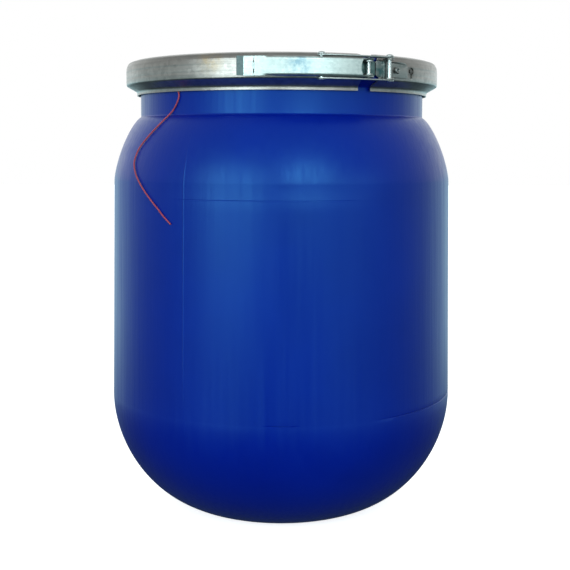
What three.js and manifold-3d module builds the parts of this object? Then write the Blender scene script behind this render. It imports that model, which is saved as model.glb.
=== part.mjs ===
// Open head plastic drum, 30 litres, with a lid held by a steel lever closure band.
// Millimetres, +Z up. The origin is the middle of the base, on the surface the drum stands on.
// Azimuths are in degrees round the drum's axis, from the front (-Y) towards +X.
import * as THREE from 'three';
import { mergeVertices } from 'three/addons/utils/BufferGeometryUtils.js';
import Module from 'manifold-3d';

const wasm = await Module();
wasm.setup();

// ---- driving dimensions -------------------------------------------------------------------
const GAP = 0.3;                 // clearance between pieces that touch on the real drum
const ROUND = 48;                // facets round the drum
const PIN_FACETS = 12;
const FULL_TURN = 360;

// drum body: the straight wall between bowl and shoulder tapers a little upwards
const BODY_RADIUS = 164.1;       // at the shoulder's foot
const BELLY_RADIUS = 167;        // at the bowl's top
const BODY_WALL = 2.6;
const FOOT_RADIUS = 73.2;
const FOOT_WIDTH = 14;
const FOOT_RECESS = 4;
const BOWL_TOP = 111.3;
const BOWL_ROUNDNESS = 1.87;     // superellipse exponent of the bowl-shaped lower end
const SHOULDER_BOTTOM = 320.9;
const SHOULDER_TOP = 381;
const SHOULDER_ROUNDNESS = 1.4;
const NECK_RADIUS = 137.8;
const NECK_TOP = 424.9;
const NECK_LIP = 1;              // the mouth's wall is this much thicker outwards
const MOUTH_CHAMFER = 0.6;
const RIM_RADIUS = 149.2;
const RIM_UNDERSIDE = 405.2;     // where the rim's conical underside leaves the neck
const RIM_EDGE = 411.6;          // where that cone reaches the rim's edge
const RIM_TOP = 418.8;

// lid
const LID_WALL = 3.0;
const LID_PANEL_TOP = 415.9;
const LID_PANEL_RADIUS = 114;
const LID_RIDGE_INNER = 122;
const LID_RIDGE_TOP = 432.1;
const LID_RIDGE_CHAMFER = 2.5;
const LID_PLUG_BOTTOM = 408.4;
const LID_BOSS_RADIUS = 30;
const LID_RING_RADIUS = 72;
const LID_RING_HALF = 3;
const LID_RIBS = 12;
const LID_RIB_HEIGHT = 3;
const LID_RIB_WIDTH = 4;
const CHANNEL_INNER = NECK_RADIUS - BODY_WALL - 0.4;
const CHANNEL_OUTER = NECK_RADIUS + NECK_LIP + 1.6;
const CHANNEL_ROOF = 429.3;

// clamp band
const BAND_RADIUS = 151.6;
const BAND_THICKNESS = 1.2;
const BAND_TOP = 433.9;
const BAND_TOP_INNER = 136.1;
const BAND_TOP_SLOPE = 1.1;
const BAND_BEND = 5;
const BAND_BEND_TURN = 84;       // degrees from the wall to the sloping top
const BAND_WALL_BOTTOM = 410.9;
const LIP_RADIUS = 141.4;
const LIP_TOP = 405.2;
const LIP_BOTTOM = 401.7;
const CONE_RISE = 0.55;          // height between the cone's outer and inner corners
const GAP_LEFT = 27.9;           // azimuths of the band's two ends
const GAP_RIGHT = 33.2;
const BAND_BACK = (GAP_LEFT + GAP_RIGHT) / 2 + 180;

// keyhole pressed into the band's wall, right of the catch bracket
const SLOT_AZIMUTH = 49.6;
const SLOT_Z = 420.5;
const SLOT_HALF_WIDTH = 3.9;
const SLOT_HALF_HEIGHT = 3.1;
const SLOT_FOOT_HALF = 1.1;
const SLOT_FOOT_DEPTH = 7.2;
const SLOT_DEPTH = 0.7;

// closure: heights are measured from the closure's middle plane
const CLOSURE_Z = 420.3;
const PIVOT_RADIUS = 156.4;
const LINK_LEVER_AZIMUTH = 12.3;
const LEVER_PIVOT_AZIMUTH = 28.3;
const LINK_CATCH_AZIMUTH = 36.6;
const RIVET_RADIUS = 1.7;
const HOLE_RADIUS = RIVET_RADIUS + 0.35;
const DOME_RADIUS = 3.7;
const DOME_HEIGHT = 2.2;
const LOWER_HEAD_HEIGHT = 0.8;
const FLUSH_HEAD = 0.4;
const FLUSH_HEAD_RADIUS = 3.4;
const CLOSURE_INNER = 152.5;     // inner edge of the lever's flanges

// lever
const LEVER_OUTER = 161.2;
const LEVER_SHEET = 1.3;
const LEVER_HALF = 8.1;
const LEVER_TIP_AZIMUTH = -13.0;
const LEVER_LIP_AZIMUTH = -11.5;
const LEVER_CREASE_AZIMUTH = -8.4;
const LEVER_FLANGE_AZIMUTH = 1.8;
const LEVER_WEB_END = 25.3;
const LEVER_LIP_RISE = 4.3;
const LEVER_TAIL = 5.3;          // reach of the flanges' corner behind the pivot
const LEVER_TAIL_TURNS = [70, 90, 120];
const NOTCH_DEPTH = 1.6;
const NOTCH_HALF = 0.25;         // degrees

// link
const LINK_INNER_HALF = 9.2;
const LINK_SHEET = 1.2;
const LINK_WIDTH = 7.9;
const LINK_HALF = LINK_INNER_HALF + LINK_SHEET;
const LINK_MOUTH_TURN = 41;      // degrees from the strap's direction to its mouth
const LINK_MOUTH_LENGTH = 12;

// brackets
const BRACKET_SHEET = 1.3;
const BRACKET_INNER = 152;
const BRACKET_OUTER = BRACKET_INNER + BRACKET_SHEET;
const LEVER_BRACKET_START = 15.5;
const LEVER_BRACKET_END = 30.8;
const LEVER_BRACKET_HALF = 6.3;
const LEVER_EAR = [LEVER_PIVOT_AZIMUTH - 3.6, LEVER_PIVOT_AZIMUTH + 0.7];
const CATCH_BRACKET_START = 32.5;
const CATCH_BRACKET_END = 46.6;
const CATCH_PLATE_HALF = 6.8;
const CATCH_EAR_HALF = 8.9;
const CATCH_EAR = [LINK_CATCH_AZIMUTH - 1.5, LINK_CATCH_AZIMUTH + 1.5];
const CATCH_CHAMFER = 9;
const EAR_RADIUS = 4;

// rivets through a bracket and the band, with a dished head outside
const BRACKET_RIVET_HEAD = 2.9;
const BRACKET_RIVET_SHANK = 1.6;
const BRACKET_RIVET_DISH = [[0.6, 0], [1.1, 0.6], [1.1, 1.6], [0.5, 2]];  // height, inset
const LEVER_BRACKET_RIVETS = [
  { name: 'lever_bracket_rivet_1', azimuth: 17.6, height: CLOSURE_Z },
  { name: 'lever_bracket_rivet_2', azimuth: 22.2, height: CLOSURE_Z },
];
const CATCH_BRACKET_RIVET = { name: 'catch_bracket_rivet', azimuth: 41.2, height: CLOSURE_Z - 0.6 };

// cord: waxed red cord that comes from under the rim and hangs over the shoulder
const CORD_DIAMETER = 1.5;
const CORD_STEPS = 48;
const CORD_FACETS = 8;
const CORD_ROUTE = [
  [-92.1, -103.8, 404.3], [-91.9, -103.9, 402.0], [-91.3, -104.7, 397.0], [-93.9, -102.5, 390.3],
  [-98.5, -98.2, 383.7], [-105.7, -98.5, 376.4], [-113.2, -97.4, 369.0], [-121.0, -94.6, 360.9],
  [-127.9, -91.2, 352.6], [-131.7, -90.3, 345.2], [-133.4, -91.9, 337.8], [-131.7, -97.5, 329.7],
  [-128.1, -104.1, 322.6], [-122.7, -110.7, 314.6], [-115.5, -118.4, 306.0], [-108.4, -125.0, 298.3],
  [-102.5, -130.0, 291.6], [-96.2, -134.8, 285.6],
];

// ---- materials ----------------------------------------------------------------------------
const finish = (color, roughness, metalness) => (
  () => new THREE.MeshStandardMaterial({ color, roughness, metalness })
);
const bluePlastic = finish(0x0b2f9e, 0.42, 0);
const lidPlastic = finish(0x0a2a8c, 0.45, 0);
const rubber = finish(0x23262a, 0.8, 0);
const galvanised = finish(0x8d8c8a, 0.38, 1);
const zincPlate = finish(0xc9d6dc, 0.28, 1);
const brightSteel = finish(0xd8dcde, 0.22, 1);
const redCord = finish(0xb3202a, 0.6, 0);

// ---- helpers ------------------------------------------------------------------------------
const radians = (degrees) => degrees * Math.PI / 180;
const degrees = (angle) => angle * 180 / Math.PI;

// a point at a radius and azimuth, seen from above
function polar(radius, azimuth) {
  return new THREE.Vector2(radius * Math.sin(radians(azimuth)), -radius * Math.cos(radians(azimuth)));
}

function toSolid(geometry) {
  const bare = geometry.clone();
  bare.deleteAttribute('normal');
  bare.deleteAttribute('uv');
  const merged = mergeVertices(bare, 1e-4);
  return new wasm.Manifold(new wasm.Mesh({
    numProp: 3,
    vertProperties: new Float32Array(merged.attributes.position.array),
    triVerts: new Uint32Array(merged.index.array),
  }));
}

function toGeometry(solid) {
  const mesh = solid.getMesh();
  const geometry = new THREE.BufferGeometry();
  geometry.setAttribute('position', new THREE.BufferAttribute(new Float32Array(mesh.vertProperties), 3));
  geometry.setIndex(new THREE.BufferAttribute(new Uint32Array(mesh.triVerts), 1));
  geometry.computeVertexNormals();
  return geometry;
}

const join = (solids) => solids.reduce((whole, solid) => whole.add(solid));

// a body of revolution round +Z from [radius, height] pairs
function turned(profile, segments) {
  const points = profile.map(([radius, height]) => new THREE.Vector2(Math.max(radius, 0), height));
  return toSolid(new THREE.LatheGeometry(points, segments).rotateX(Math.PI / 2));
}

// a flat plate with this outline, seen from above, between two heights
function plate(shape, low, high, curveSegments = 12) {
  const options = { depth: high - low, bevelEnabled: false, curveSegments };
  const geometry = new THREE.ExtrudeGeometry(shape, options);
  return toSolid(geometry.translate(0, 0, low));
}

// the outline of a part of a ring between two azimuths
function ringSector(inner, outer, from, to) {
  const shape = new THREE.Shape();
  shape.absarc(0, 0, outer, radians(from - 90), radians(to - 90), false);
  shape.absarc(0, 0, inner, radians(to - 90), radians(from - 90), true);
  shape.closePath();
  return shape;
}

// a disc seen from above, as an outline
function disc(centre, radius) {
  const shape = new THREE.Shape();
  shape.absarc(centre.x, centre.y, radius, 0, Math.PI * 2, false);
  return shape;
}

// an upright cylinder on a pivot's azimuth
function pin(azimuth, radius, low, high) {
  const centre = polar(PIVOT_RADIUS, azimuth);
  const geometry = new THREE.CylinderGeometry(radius, radius, high - low, PIN_FACETS);
  geometry.rotateX(Math.PI / 2).translate(centre.x, centre.y, (low + high) / 2);
  return toSolid(geometry);
}

// a solid made along +Z is turned to point outwards at an azimuth, with its foot at a radius and height
function pointOutwards(geometry, radius, azimuth, height) {
  const foot = polar(radius, azimuth);
  geometry.rotateX(Math.PI / 2).rotateZ(radians(azimuth));
  return geometry.translate(foot.x, foot.y, height);
}

// the superellipse arc between a corner (outer, low) and a corner (inner, high)
function roundedCorner(outer, inner, low, high, roundness, steps) {
  const points = [];
  for (let i = 0; i <= steps; i += 1) {
    const angle = Math.PI / 2 * i / steps;
    const across = Math.abs(Math.cos(angle)) ** (2 / roundness);
    const up = Math.sin(angle) ** (2 / roundness);
    points.push([inner + (outer - inner) * across, low + (high - low) * up]);
  }
  return points;
}

// ---- drum body ----------------------------------------------------------------------------
function drumBody() {
  const footInner = FOOT_RADIUS - FOOT_WIDTH;
  const footBottom = footInner - FOOT_RECESS;
  const innerBody = BODY_RADIUS - BODY_WALL;
  const innerBelly = BELLY_RADIUS - BODY_WALL;
  const innerNeck = NECK_RADIUS - BODY_WALL;
  const innerFloor = FOOT_RECESS + BODY_WALL;
  const bowl = roundedCorner(BELLY_RADIUS, FOOT_RADIUS, BOWL_TOP, 0, BOWL_ROUNDNESS, 11).reverse();
  const shoulder = roundedCorner(
    BODY_RADIUS, NECK_RADIUS, SHOULDER_BOTTOM, SHOULDER_TOP, SHOULDER_ROUNDNESS, 8,
  );
  const drop = BODY_WALL / 2;
  const innerShoulder = roundedCorner(
    innerBody, innerNeck, SHOULDER_BOTTOM - drop, SHOULDER_TOP - drop, SHOULDER_ROUNDNESS, 5,
  ).reverse();
  const innerBowl = roundedCorner(innerBelly, FOOT_RADIUS, BOWL_TOP, BODY_WALL + 1, BOWL_ROUNDNESS, 8);
  const profile = [
    [0, FOOT_RECESS], [footBottom, FOOT_RECESS], [footInner, 0],
    ...bowl,
    ...shoulder,
    [NECK_RADIUS, RIM_UNDERSIDE], [RIM_RADIUS, RIM_EDGE], [RIM_RADIUS, RIM_TOP],
    [NECK_RADIUS + NECK_LIP, RIM_TOP], [NECK_RADIUS + NECK_LIP, NECK_TOP - 1], [NECK_RADIUS, NECK_TOP],
    [innerNeck + MOUTH_CHAMFER, NECK_TOP], [innerNeck, NECK_TOP - MOUTH_CHAMFER],
    ...innerShoulder,
    ...innerBowl,
    [footBottom, innerFloor], [0, innerFloor],
  ];
  return turned(profile, ROUND);
}

// ---- lid and gasket -----------------------------------------------------------------------
function lid() {
  const panelBottom = LID_PANEL_TOP - LID_WALL;
  const ribTop = LID_PANEL_TOP + LID_RIB_HEIGHT;
  const ridgeUnderside = LID_RIDGE_TOP - LID_WALL;
  const plugInner = CHANNEL_INNER - LID_WALL;
  const skirtBottom = RIM_TOP + GAP;
  const profile = [
    [0, ribTop], [LID_BOSS_RADIUS, ribTop], [LID_BOSS_RADIUS + 1, LID_PANEL_TOP],
    [LID_RING_RADIUS - LID_RING_HALF - 1, LID_PANEL_TOP], [LID_RING_RADIUS - LID_RING_HALF, ribTop],
    [LID_RING_RADIUS + LID_RING_HALF, ribTop], [LID_RING_RADIUS + LID_RING_HALF + 1, LID_PANEL_TOP],
    [LID_PANEL_RADIUS, LID_PANEL_TOP],
    [LID_RIDGE_INNER, LID_RIDGE_TOP - LID_RIDGE_CHAMFER],
    [LID_RIDGE_INNER + LID_RIDGE_CHAMFER, LID_RIDGE_TOP],
    [BAND_TOP_INNER - 1, LID_RIDGE_TOP],
    [RIM_RADIUS - 4, LID_RIDGE_TOP - 1.5], [RIM_RADIUS - 1, LID_RIDGE_TOP - 3.6],
    [RIM_RADIUS, LID_RIDGE_TOP - 6],
    [RIM_RADIUS, skirtBottom], [CHANNEL_OUTER, skirtBottom],
    [CHANNEL_OUTER, CHANNEL_ROOF], [CHANNEL_INNER, CHANNEL_ROOF],
    [CHANNEL_INNER, LID_PLUG_BOTTOM + 1], [CHANNEL_INNER - 1, LID_PLUG_BOTTOM],
    [plugInner, LID_PLUG_BOTTOM], [plugInner, ridgeUnderside],
    [LID_RIDGE_INNER + LID_WALL, ridgeUnderside],
    [LID_PANEL_RADIUS + 2, panelBottom], [0, panelBottom],
  ].reverse();
  const length = LID_PANEL_RADIUS - LID_BOSS_RADIUS + 3;
  const ribs = [];
  for (let i = 0; i < LID_RIBS; i += 1) {
    const rib = new THREE.BoxGeometry(length, LID_RIB_WIDTH, LID_RIB_HEIGHT);
    rib.translate(LID_BOSS_RADIUS - 1 + length / 2, 0, LID_PANEL_TOP + LID_RIB_HEIGHT / 2 - 0.05);
    ribs.push(toSolid(rib.rotateZ(radians((i + 0.5) * FULL_TURN / LID_RIBS))));
  }
  return turned(profile, ROUND).add(join(ribs));
}

function lidGasket() {
  const low = NECK_TOP + GAP;
  const high = CHANNEL_ROOF - GAP;
  const inner = CHANNEL_INNER + GAP;
  const outer = CHANNEL_OUTER - GAP;
  const profile = [
    [inner, low], [outer, low], [outer, high - GAP], [outer - GAP, high], [inner + GAP, high],
    [inner, high - GAP], [inner, low],
  ];
  return turned(profile, ROUND);
}

// ---- clamp band ---------------------------------------------------------------------------
function bandBend(radius) {
  const points = [];
  const steps = 4;
  for (let i = 0; i <= steps; i += 1) {
    const angle = radians(BAND_BEND_TURN * i / steps);
    points.push([
      BAND_RADIUS - BAND_BEND + radius * Math.cos(angle),
      BAND_TOP - BAND_TOP_SLOPE - BAND_BEND + radius * Math.sin(angle),
    ]);
  }
  return points;
}

function bandProfile() {
  const inside = BAND_RADIUS - BAND_THICKNESS;
  const lipInside = LIP_RADIUS - BAND_THICKNESS;
  return [
    [lipInside, LIP_BOTTOM], [LIP_RADIUS, LIP_BOTTOM], [LIP_RADIUS, LIP_TOP],
    [BAND_RADIUS, BAND_WALL_BOTTOM],
    ...bandBend(BAND_BEND),
    [BAND_TOP_INNER, BAND_TOP], [BAND_TOP_INNER, BAND_TOP - BAND_THICKNESS],
    ...bandBend(BAND_BEND - BAND_THICKNESS).reverse(),
    [inside, BAND_WALL_BOTTOM + CONE_RISE], [lipInside, LIP_TOP + CONE_RISE], [lipInside, LIP_BOTTOM],
  ];
}

// the wedge of space between two azimuths, tall enough to hold the band
function wedge(from, to) {
  const room = 9;
  const outline = ringSector(BAND_TOP_INNER - room, BAND_RADIUS + room, from, to);
  return plate(outline, LIP_BOTTOM - room, BAND_TOP + room, 40);
}

function bandHalf(from, to) {
  return turned(bandProfile(), ROUND).intersect(wedge(from, to));
}

// an oval with a narrow foot, pressed part of the way into the sheet
function keyholeRecess() {
  const oval = new THREE.Shape();
  oval.absellipse(0, 0, SLOT_HALF_WIDTH, SLOT_HALF_HEIGHT, 0, Math.PI * 2, false, 0);
  const foot = new THREE.Shape();
  foot.moveTo(-SLOT_FOOT_HALF, -SLOT_FOOT_DEPTH);
  foot.lineTo(SLOT_FOOT_HALF, -SLOT_FOOT_DEPTH);
  foot.lineTo(SLOT_FOOT_HALF, 0);
  foot.lineTo(-SLOT_FOOT_HALF, 0);
  foot.closePath();
  const floor = BAND_RADIUS - SLOT_DEPTH;
  const parts = [oval, foot].map((shape) => {
    const geometry = new THREE.ExtrudeGeometry(shape, { depth: 4, bevelEnabled: false, curveSegments: 8 });
    return toSolid(pointOutwards(geometry, floor, SLOT_AZIMUTH, SLOT_Z));
  });
  return join(parts);
}

// ---- rivets -------------------------------------------------------------------------------
// one end of an upright rivet, from its shank to the middle of its domed head
function rivetHead(halfGrip, height) {
  const steps = 4;
  const dome = [];
  for (let i = 0; i < steps; i += 1) {
    const angle = Math.PI / 2 * i / steps;
    dome.push([DOME_RADIUS * Math.cos(angle), halfGrip + height * Math.sin(angle)]);
  }
  return [[RIVET_RADIUS, halfGrip], ...dome, [0, halfGrip + height]];
}

// an upright rivet with a domed head above and a flatter one below
function domedRivet(azimuth, halfGrip) {
  const centre = polar(PIVOT_RADIUS, azimuth);
  const upper = rivetHead(halfGrip, DOME_HEIGHT);
  const lower = rivetHead(halfGrip, LOWER_HEAD_HEIGHT).map(([radius, rise]) => [radius, -rise]).reverse();
  return turned([...lower, ...upper], PIN_FACETS).translate([centre.x, centre.y, CLOSURE_Z]);
}

// the lever's pivot has thin flush heads, because the link's straps pass over it
function flushRivet(azimuth, halfGrip) {
  const low = CLOSURE_Z - halfGrip - FLUSH_HEAD;
  const high = CLOSURE_Z + halfGrip + FLUSH_HEAD;
  return join([
    pin(azimuth, RIVET_RADIUS, low, high),
    pin(azimuth, FLUSH_HEAD_RADIUS, low, low + FLUSH_HEAD),
    pin(azimuth, FLUSH_HEAD_RADIUS, high - FLUSH_HEAD, high),
  ]);
}

function bracketRivet(azimuth, height) {
  const foot = BAND_RADIUS - BAND_THICKNESS;
  const reach = BRACKET_OUTER + GAP - foot;
  const head = BRACKET_RIVET_DISH.map(([rise, inset]) => [BRACKET_RIVET_HEAD - inset, reach + rise]);
  const dishFloor = head[head.length - 1][1];
  const profile = [
    [0, 0], [BRACKET_RIVET_SHANK, 0], [BRACKET_RIVET_SHANK, reach], [BRACKET_RIVET_HEAD, reach],
    ...head,
    [0, dishFloor],
  ];
  const points = profile.map(([radius, rise]) => new THREE.Vector2(radius, rise));
  const geometry = new THREE.LatheGeometry(points, PIN_FACETS).rotateX(Math.PI / 2);
  return toSolid(pointOutwards(geometry, foot, azimuth, height));
}

function bracketRivetHole(azimuth, height) {
  const radius = BRACKET_RIVET_SHANK + GAP;
  const length = 14;
  const geometry = new THREE.CylinderGeometry(radius, radius, length, PIN_FACETS).rotateX(Math.PI / 2);
  return toSolid(pointOutwards(geometry, BAND_RADIUS, azimuth, height));
}

// ---- lever --------------------------------------------------------------------------------
function leverFlangeShape() {
  const pivot = polar(PIVOT_RADIUS, LEVER_PIVOT_AZIMUTH);
  const edge = LEVER_OUTER - LEVER_SHEET / 3;
  const start = polar(edge, LEVER_CREASE_AZIMUTH);
  const crease = polar(edge - LEVER_SHEET / 3, LEVER_CREASE_AZIMUTH);
  const outward = radians(LEVER_PIVOT_AZIMUTH - 90);
  const [leave, corner, arrive] = LEVER_TAIL_TURNS.map((turn) => outward + radians(turn));
  const outerRound = edge - PIVOT_RADIUS;
  const innerRound = PIVOT_RADIUS - CLOSURE_INNER;
  const shape = new THREE.Shape();
  shape.moveTo(start.x, start.y);
  shape.absarc(0, 0, edge, radians(LEVER_CREASE_AZIMUTH - 90), outward, false);
  shape.absarc(pivot.x, pivot.y, outerRound, outward, leave, false);
  shape.lineTo(pivot.x + LEVER_TAIL * Math.cos(corner), pivot.y + LEVER_TAIL * Math.sin(corner));
  shape.absarc(pivot.x, pivot.y, innerRound, arrive, outward + Math.PI, false);
  shape.absarc(0, 0, CLOSURE_INNER, outward, radians(LEVER_FLANGE_AZIMUTH - 90), true);
  shape.lineTo(crease.x, crease.y);
  shape.closePath();
  return shape;
}

// the turned-out end that the fingers pull
function leverLip(low, high) {
  const inner = LEVER_OUTER - LEVER_SHEET;
  const tipRadius = LEVER_OUTER + LEVER_LIP_RISE;
  const shape = new THREE.Shape([
    polar(inner, LEVER_LIP_AZIMUTH + 0.2),
    polar(LEVER_OUTER, LEVER_LIP_AZIMUTH + 0.2),
    polar(LEVER_OUTER + 0.5, LEVER_LIP_AZIMUTH - 0.4),
    polar(tipRadius, LEVER_TIP_AZIMUTH + 0.3),
    polar(tipRadius - LEVER_SHEET, LEVER_TIP_AZIMUTH),
    polar(inner + 0.4, LEVER_LIP_AZIMUTH - 0.6),
  ].reverse());
  return plate(shape, low, high);
}

// a relief notch at an end of the crease, where the flange begins
function leverNotch(edge) {
  const from = LEVER_CREASE_AZIMUTH - NOTCH_HALF;
  const to = LEVER_CREASE_AZIMUTH + NOTCH_HALF;
  const outline = ringSector(LEVER_OUTER - 3, LEVER_OUTER + 2, from, to);
  return plate(outline, edge - NOTCH_DEPTH, edge + NOTCH_DEPTH);
}

function lever() {
  const low = CLOSURE_Z - LEVER_HALF;
  const high = CLOSURE_Z + LEVER_HALF;
  const web = ringSector(LEVER_OUTER - LEVER_SHEET, LEVER_OUTER, LEVER_LIP_AZIMUTH, LEVER_WEB_END);
  return join([
    plate(web, low, high, 14),
    plate(leverFlangeShape(), high - LEVER_SHEET, high, 9),
    plate(leverFlangeShape(), low, low + LEVER_SHEET, 9),
    leverLip(low, high),
  ])
    .subtract(pin(LINK_LEVER_AZIMUTH, HOLE_RADIUS, low - 1, high + 1))
    .subtract(pin(LEVER_PIVOT_AZIMUTH, HOLE_RADIUS, low - 1, high + 1))
    .subtract(leverNotch(low))
    .subtract(leverNotch(high));
}

// ---- link ---------------------------------------------------------------------------------
// one curved strap of the link. Its catch end is open towards the drum, so that the rivet can leave
// and re-enter the eye while the lever swings.
function linkStrap(low) {
  const high = low + LINK_SHEET;
  const half = LINK_WIDTH / 2;
  const leverEnd = polar(PIVOT_RADIUS, LINK_LEVER_AZIMUTH);
  const catchEnd = polar(PIVOT_RADIUS, LINK_CATCH_AZIMUTH);
  const inner = PIVOT_RADIUS - half;
  const outer = PIVOT_RADIUS + half;
  const eyeRadius = HOLE_RADIUS + GAP;
  const along = new THREE.Vector2().subVectors(catchEnd, leverEnd).angle();
  const mouth = new THREE.BoxGeometry(LINK_MOUTH_LENGTH, 2 * eyeRadius, 3 * LINK_SHEET);
  mouth.translate(LINK_MOUTH_LENGTH / 2, 0, 0).rotateZ(along + radians(LINK_MOUTH_TURN));
  mouth.translate(catchEnd.x, catchEnd.y, (low + high) / 2);
  return join([
    plate(ringSector(inner, outer, LINK_LEVER_AZIMUTH, LINK_CATCH_AZIMUTH), low, high, 14),
    plate(disc(leverEnd, half), low, high, 8),
    plate(disc(catchEnd, half), low, high, 8),
  ])
    .subtract(pin(LINK_LEVER_AZIMUTH, HOLE_RADIUS, low - 1, high + 1))
    .subtract(pin(LINK_CATCH_AZIMUTH, eyeRadius, low - 1, high + 1))
    .subtract(toSolid(mouth));
}

// ---- brackets -----------------------------------------------------------------------------
// an ear that stands out from the band round a pivot, one sheet thick
function ear(azimuth, [from, to], low) {
  const high = low + BRACKET_SHEET;
  return join([
    plate(ringSector(BRACKET_INNER + BRACKET_SHEET / 2, PIVOT_RADIUS, from, to), low, high, 5),
    plate(disc(polar(PIVOT_RADIUS, azimuth), EAR_RADIUS), low, high, PIN_FACETS),
  ]);
}

function leverBracket() {
  const low = CLOSURE_Z - LEVER_BRACKET_HALF;
  const high = CLOSURE_Z + LEVER_BRACKET_HALF;
  const base = ringSector(BRACKET_INNER, BRACKET_OUTER, LEVER_BRACKET_START, LEVER_BRACKET_END);
  const holes = LEVER_BRACKET_RIVETS.map(({ azimuth, height }) => bracketRivetHole(azimuth, height));
  return join([
    plate(base, low, high, 10),
    ear(LEVER_PIVOT_AZIMUTH, LEVER_EAR, high - BRACKET_SHEET),
    ear(LEVER_PIVOT_AZIMUTH, LEVER_EAR, low),
  ])
    .subtract(pin(LEVER_PIVOT_AZIMUTH, HOLE_RADIUS, low - 1, high + 1))
    .subtract(join(holes));
}

// the strips cut off the catch bracket's plate above and below, on both sides of its ears
function catchPlateTrims(low, high) {
  const spans = [[CATCH_BRACKET_START - 2, CATCH_EAR[0]], [CATCH_EAR[1], CATCH_BRACKET_END + 2]];
  const bands = [
    [low - 2, CLOSURE_Z - CATCH_PLATE_HALF],
    [CLOSURE_Z + CATCH_PLATE_HALF, high + 2],
  ];
  const trims = spans.flatMap(([from, to]) => bands.map(([bottom, top]) => (
    plate(ringSector(BRACKET_INNER - 3, BRACKET_OUTER + 3, from, to), bottom, top)
  )));
  return join(trims);
}

function catchBracket() {
  const low = CLOSURE_Z - CATCH_EAR_HALF;
  const high = CLOSURE_Z + CATCH_EAR_HALF;
  const base = ringSector(BRACKET_INNER, BRACKET_OUTER, CATCH_BRACKET_START, CATCH_BRACKET_END);
  const chamfer = new THREE.BoxGeometry(CATCH_CHAMFER, CATCH_CHAMFER, 4).rotateZ(Math.PI / 4);
  const cornerHeight = CLOSURE_Z + CATCH_PLATE_HALF + 1;
  const corner = pointOutwards(chamfer, BRACKET_OUTER, CATCH_BRACKET_END, cornerHeight);
  return join([
    plate(base, low, high, 10).subtract(catchPlateTrims(low, high)),
    ear(LINK_CATCH_AZIMUTH, CATCH_EAR, high - BRACKET_SHEET),
    ear(LINK_CATCH_AZIMUTH, CATCH_EAR, low),
  ])
    .subtract(pin(LINK_CATCH_AZIMUTH, HOLE_RADIUS, low - 1, high + 1))
    .subtract(bracketRivetHole(CATCH_BRACKET_RIVET.azimuth, CATCH_BRACKET_RIVET.height))
    .subtract(toSolid(corner));
}

// ---- cord ---------------------------------------------------------------------------------
function cordTube() {
  const knots = CORD_ROUTE.map((point) => new THREE.Vector3(...point));
  const extrudePath = new THREE.CatmullRomCurve3(knots, false, 'centripetal');
  const corners = [];
  for (let i = 0; i < CORD_FACETS; i += 1) {
    const angle = radians(FULL_TURN * i / CORD_FACETS);
    corners.push(new THREE.Vector2(Math.cos(angle), Math.sin(angle)).multiplyScalar(CORD_DIAMETER / 2));
  }
  const options = { steps: CORD_STEPS, extrudePath, bevelEnabled: false };
  return toSolid(new THREE.ExtrudeGeometry(new THREE.Shape(corners), options));
}

// ---- assembly -----------------------------------------------------------------------------
const drum = new THREE.Group();

function place(name, solid, material) {
  const mesh = new THREE.Mesh(toGeometry(solid), material);
  mesh.name = name;
  drum.add(mesh);
}

const bandCuts = [...LEVER_BRACKET_RIVETS, CATCH_BRACKET_RIVET].map(({ azimuth, height }) => (
  bracketRivetHole(azimuth, height)
));
const seam = degrees(GAP / 2 / BAND_RADIUS);
const cutBand = join([...bandCuts, keyholeRecess()]);
const bandLeft = bandHalf(BAND_BACK - FULL_TURN + seam, GAP_LEFT).subtract(cutBand);
const bandRight = bandHalf(GAP_RIGHT, BAND_BACK - seam).subtract(cutBand);
const gripHalf = LINK_HALF + GAP;

place('drum_body', drumBody(), bluePlastic());
place('lid', lid(), lidPlastic());
place('lid_gasket', lidGasket(), rubber());
place('clamp_band_left', bandLeft, galvanised());
place('clamp_band_right', bandRight, galvanised());
place('lever_bracket', leverBracket(), galvanised());
place('catch_bracket', catchBracket(), galvanised());
place('lever', lever(), zincPlate());
place('link_upper_strap', linkStrap(CLOSURE_Z + LINK_INNER_HALF), galvanised());
place('link_lower_strap', linkStrap(CLOSURE_Z - LINK_HALF), galvanised());
place('lever_pivot_rivet', flushRivet(LEVER_PIVOT_AZIMUTH, LEVER_HALF + GAP), brightSteel());
place('link_lever_rivet', domedRivet(LINK_LEVER_AZIMUTH, gripHalf), brightSteel());
place('link_catch_rivet', domedRivet(LINK_CATCH_AZIMUTH, gripHalf), brightSteel());
for (const { name, azimuth, height } of [...LEVER_BRACKET_RIVETS, CATCH_BRACKET_RIVET]) {
  place(name, bracketRivet(azimuth, height), brightSteel());
}
place('seal_cord', cordTube(), redCord());

export default drum;
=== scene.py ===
"""Looks of the open head drum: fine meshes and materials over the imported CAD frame, in metres, +Z up.

Azimuths are in degrees round the drum's axis, from the front (-Y) towards +X.
"""
import math

import bmesh
import bpy
import numpy as np
from mathutils import Matrix, Vector


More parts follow.
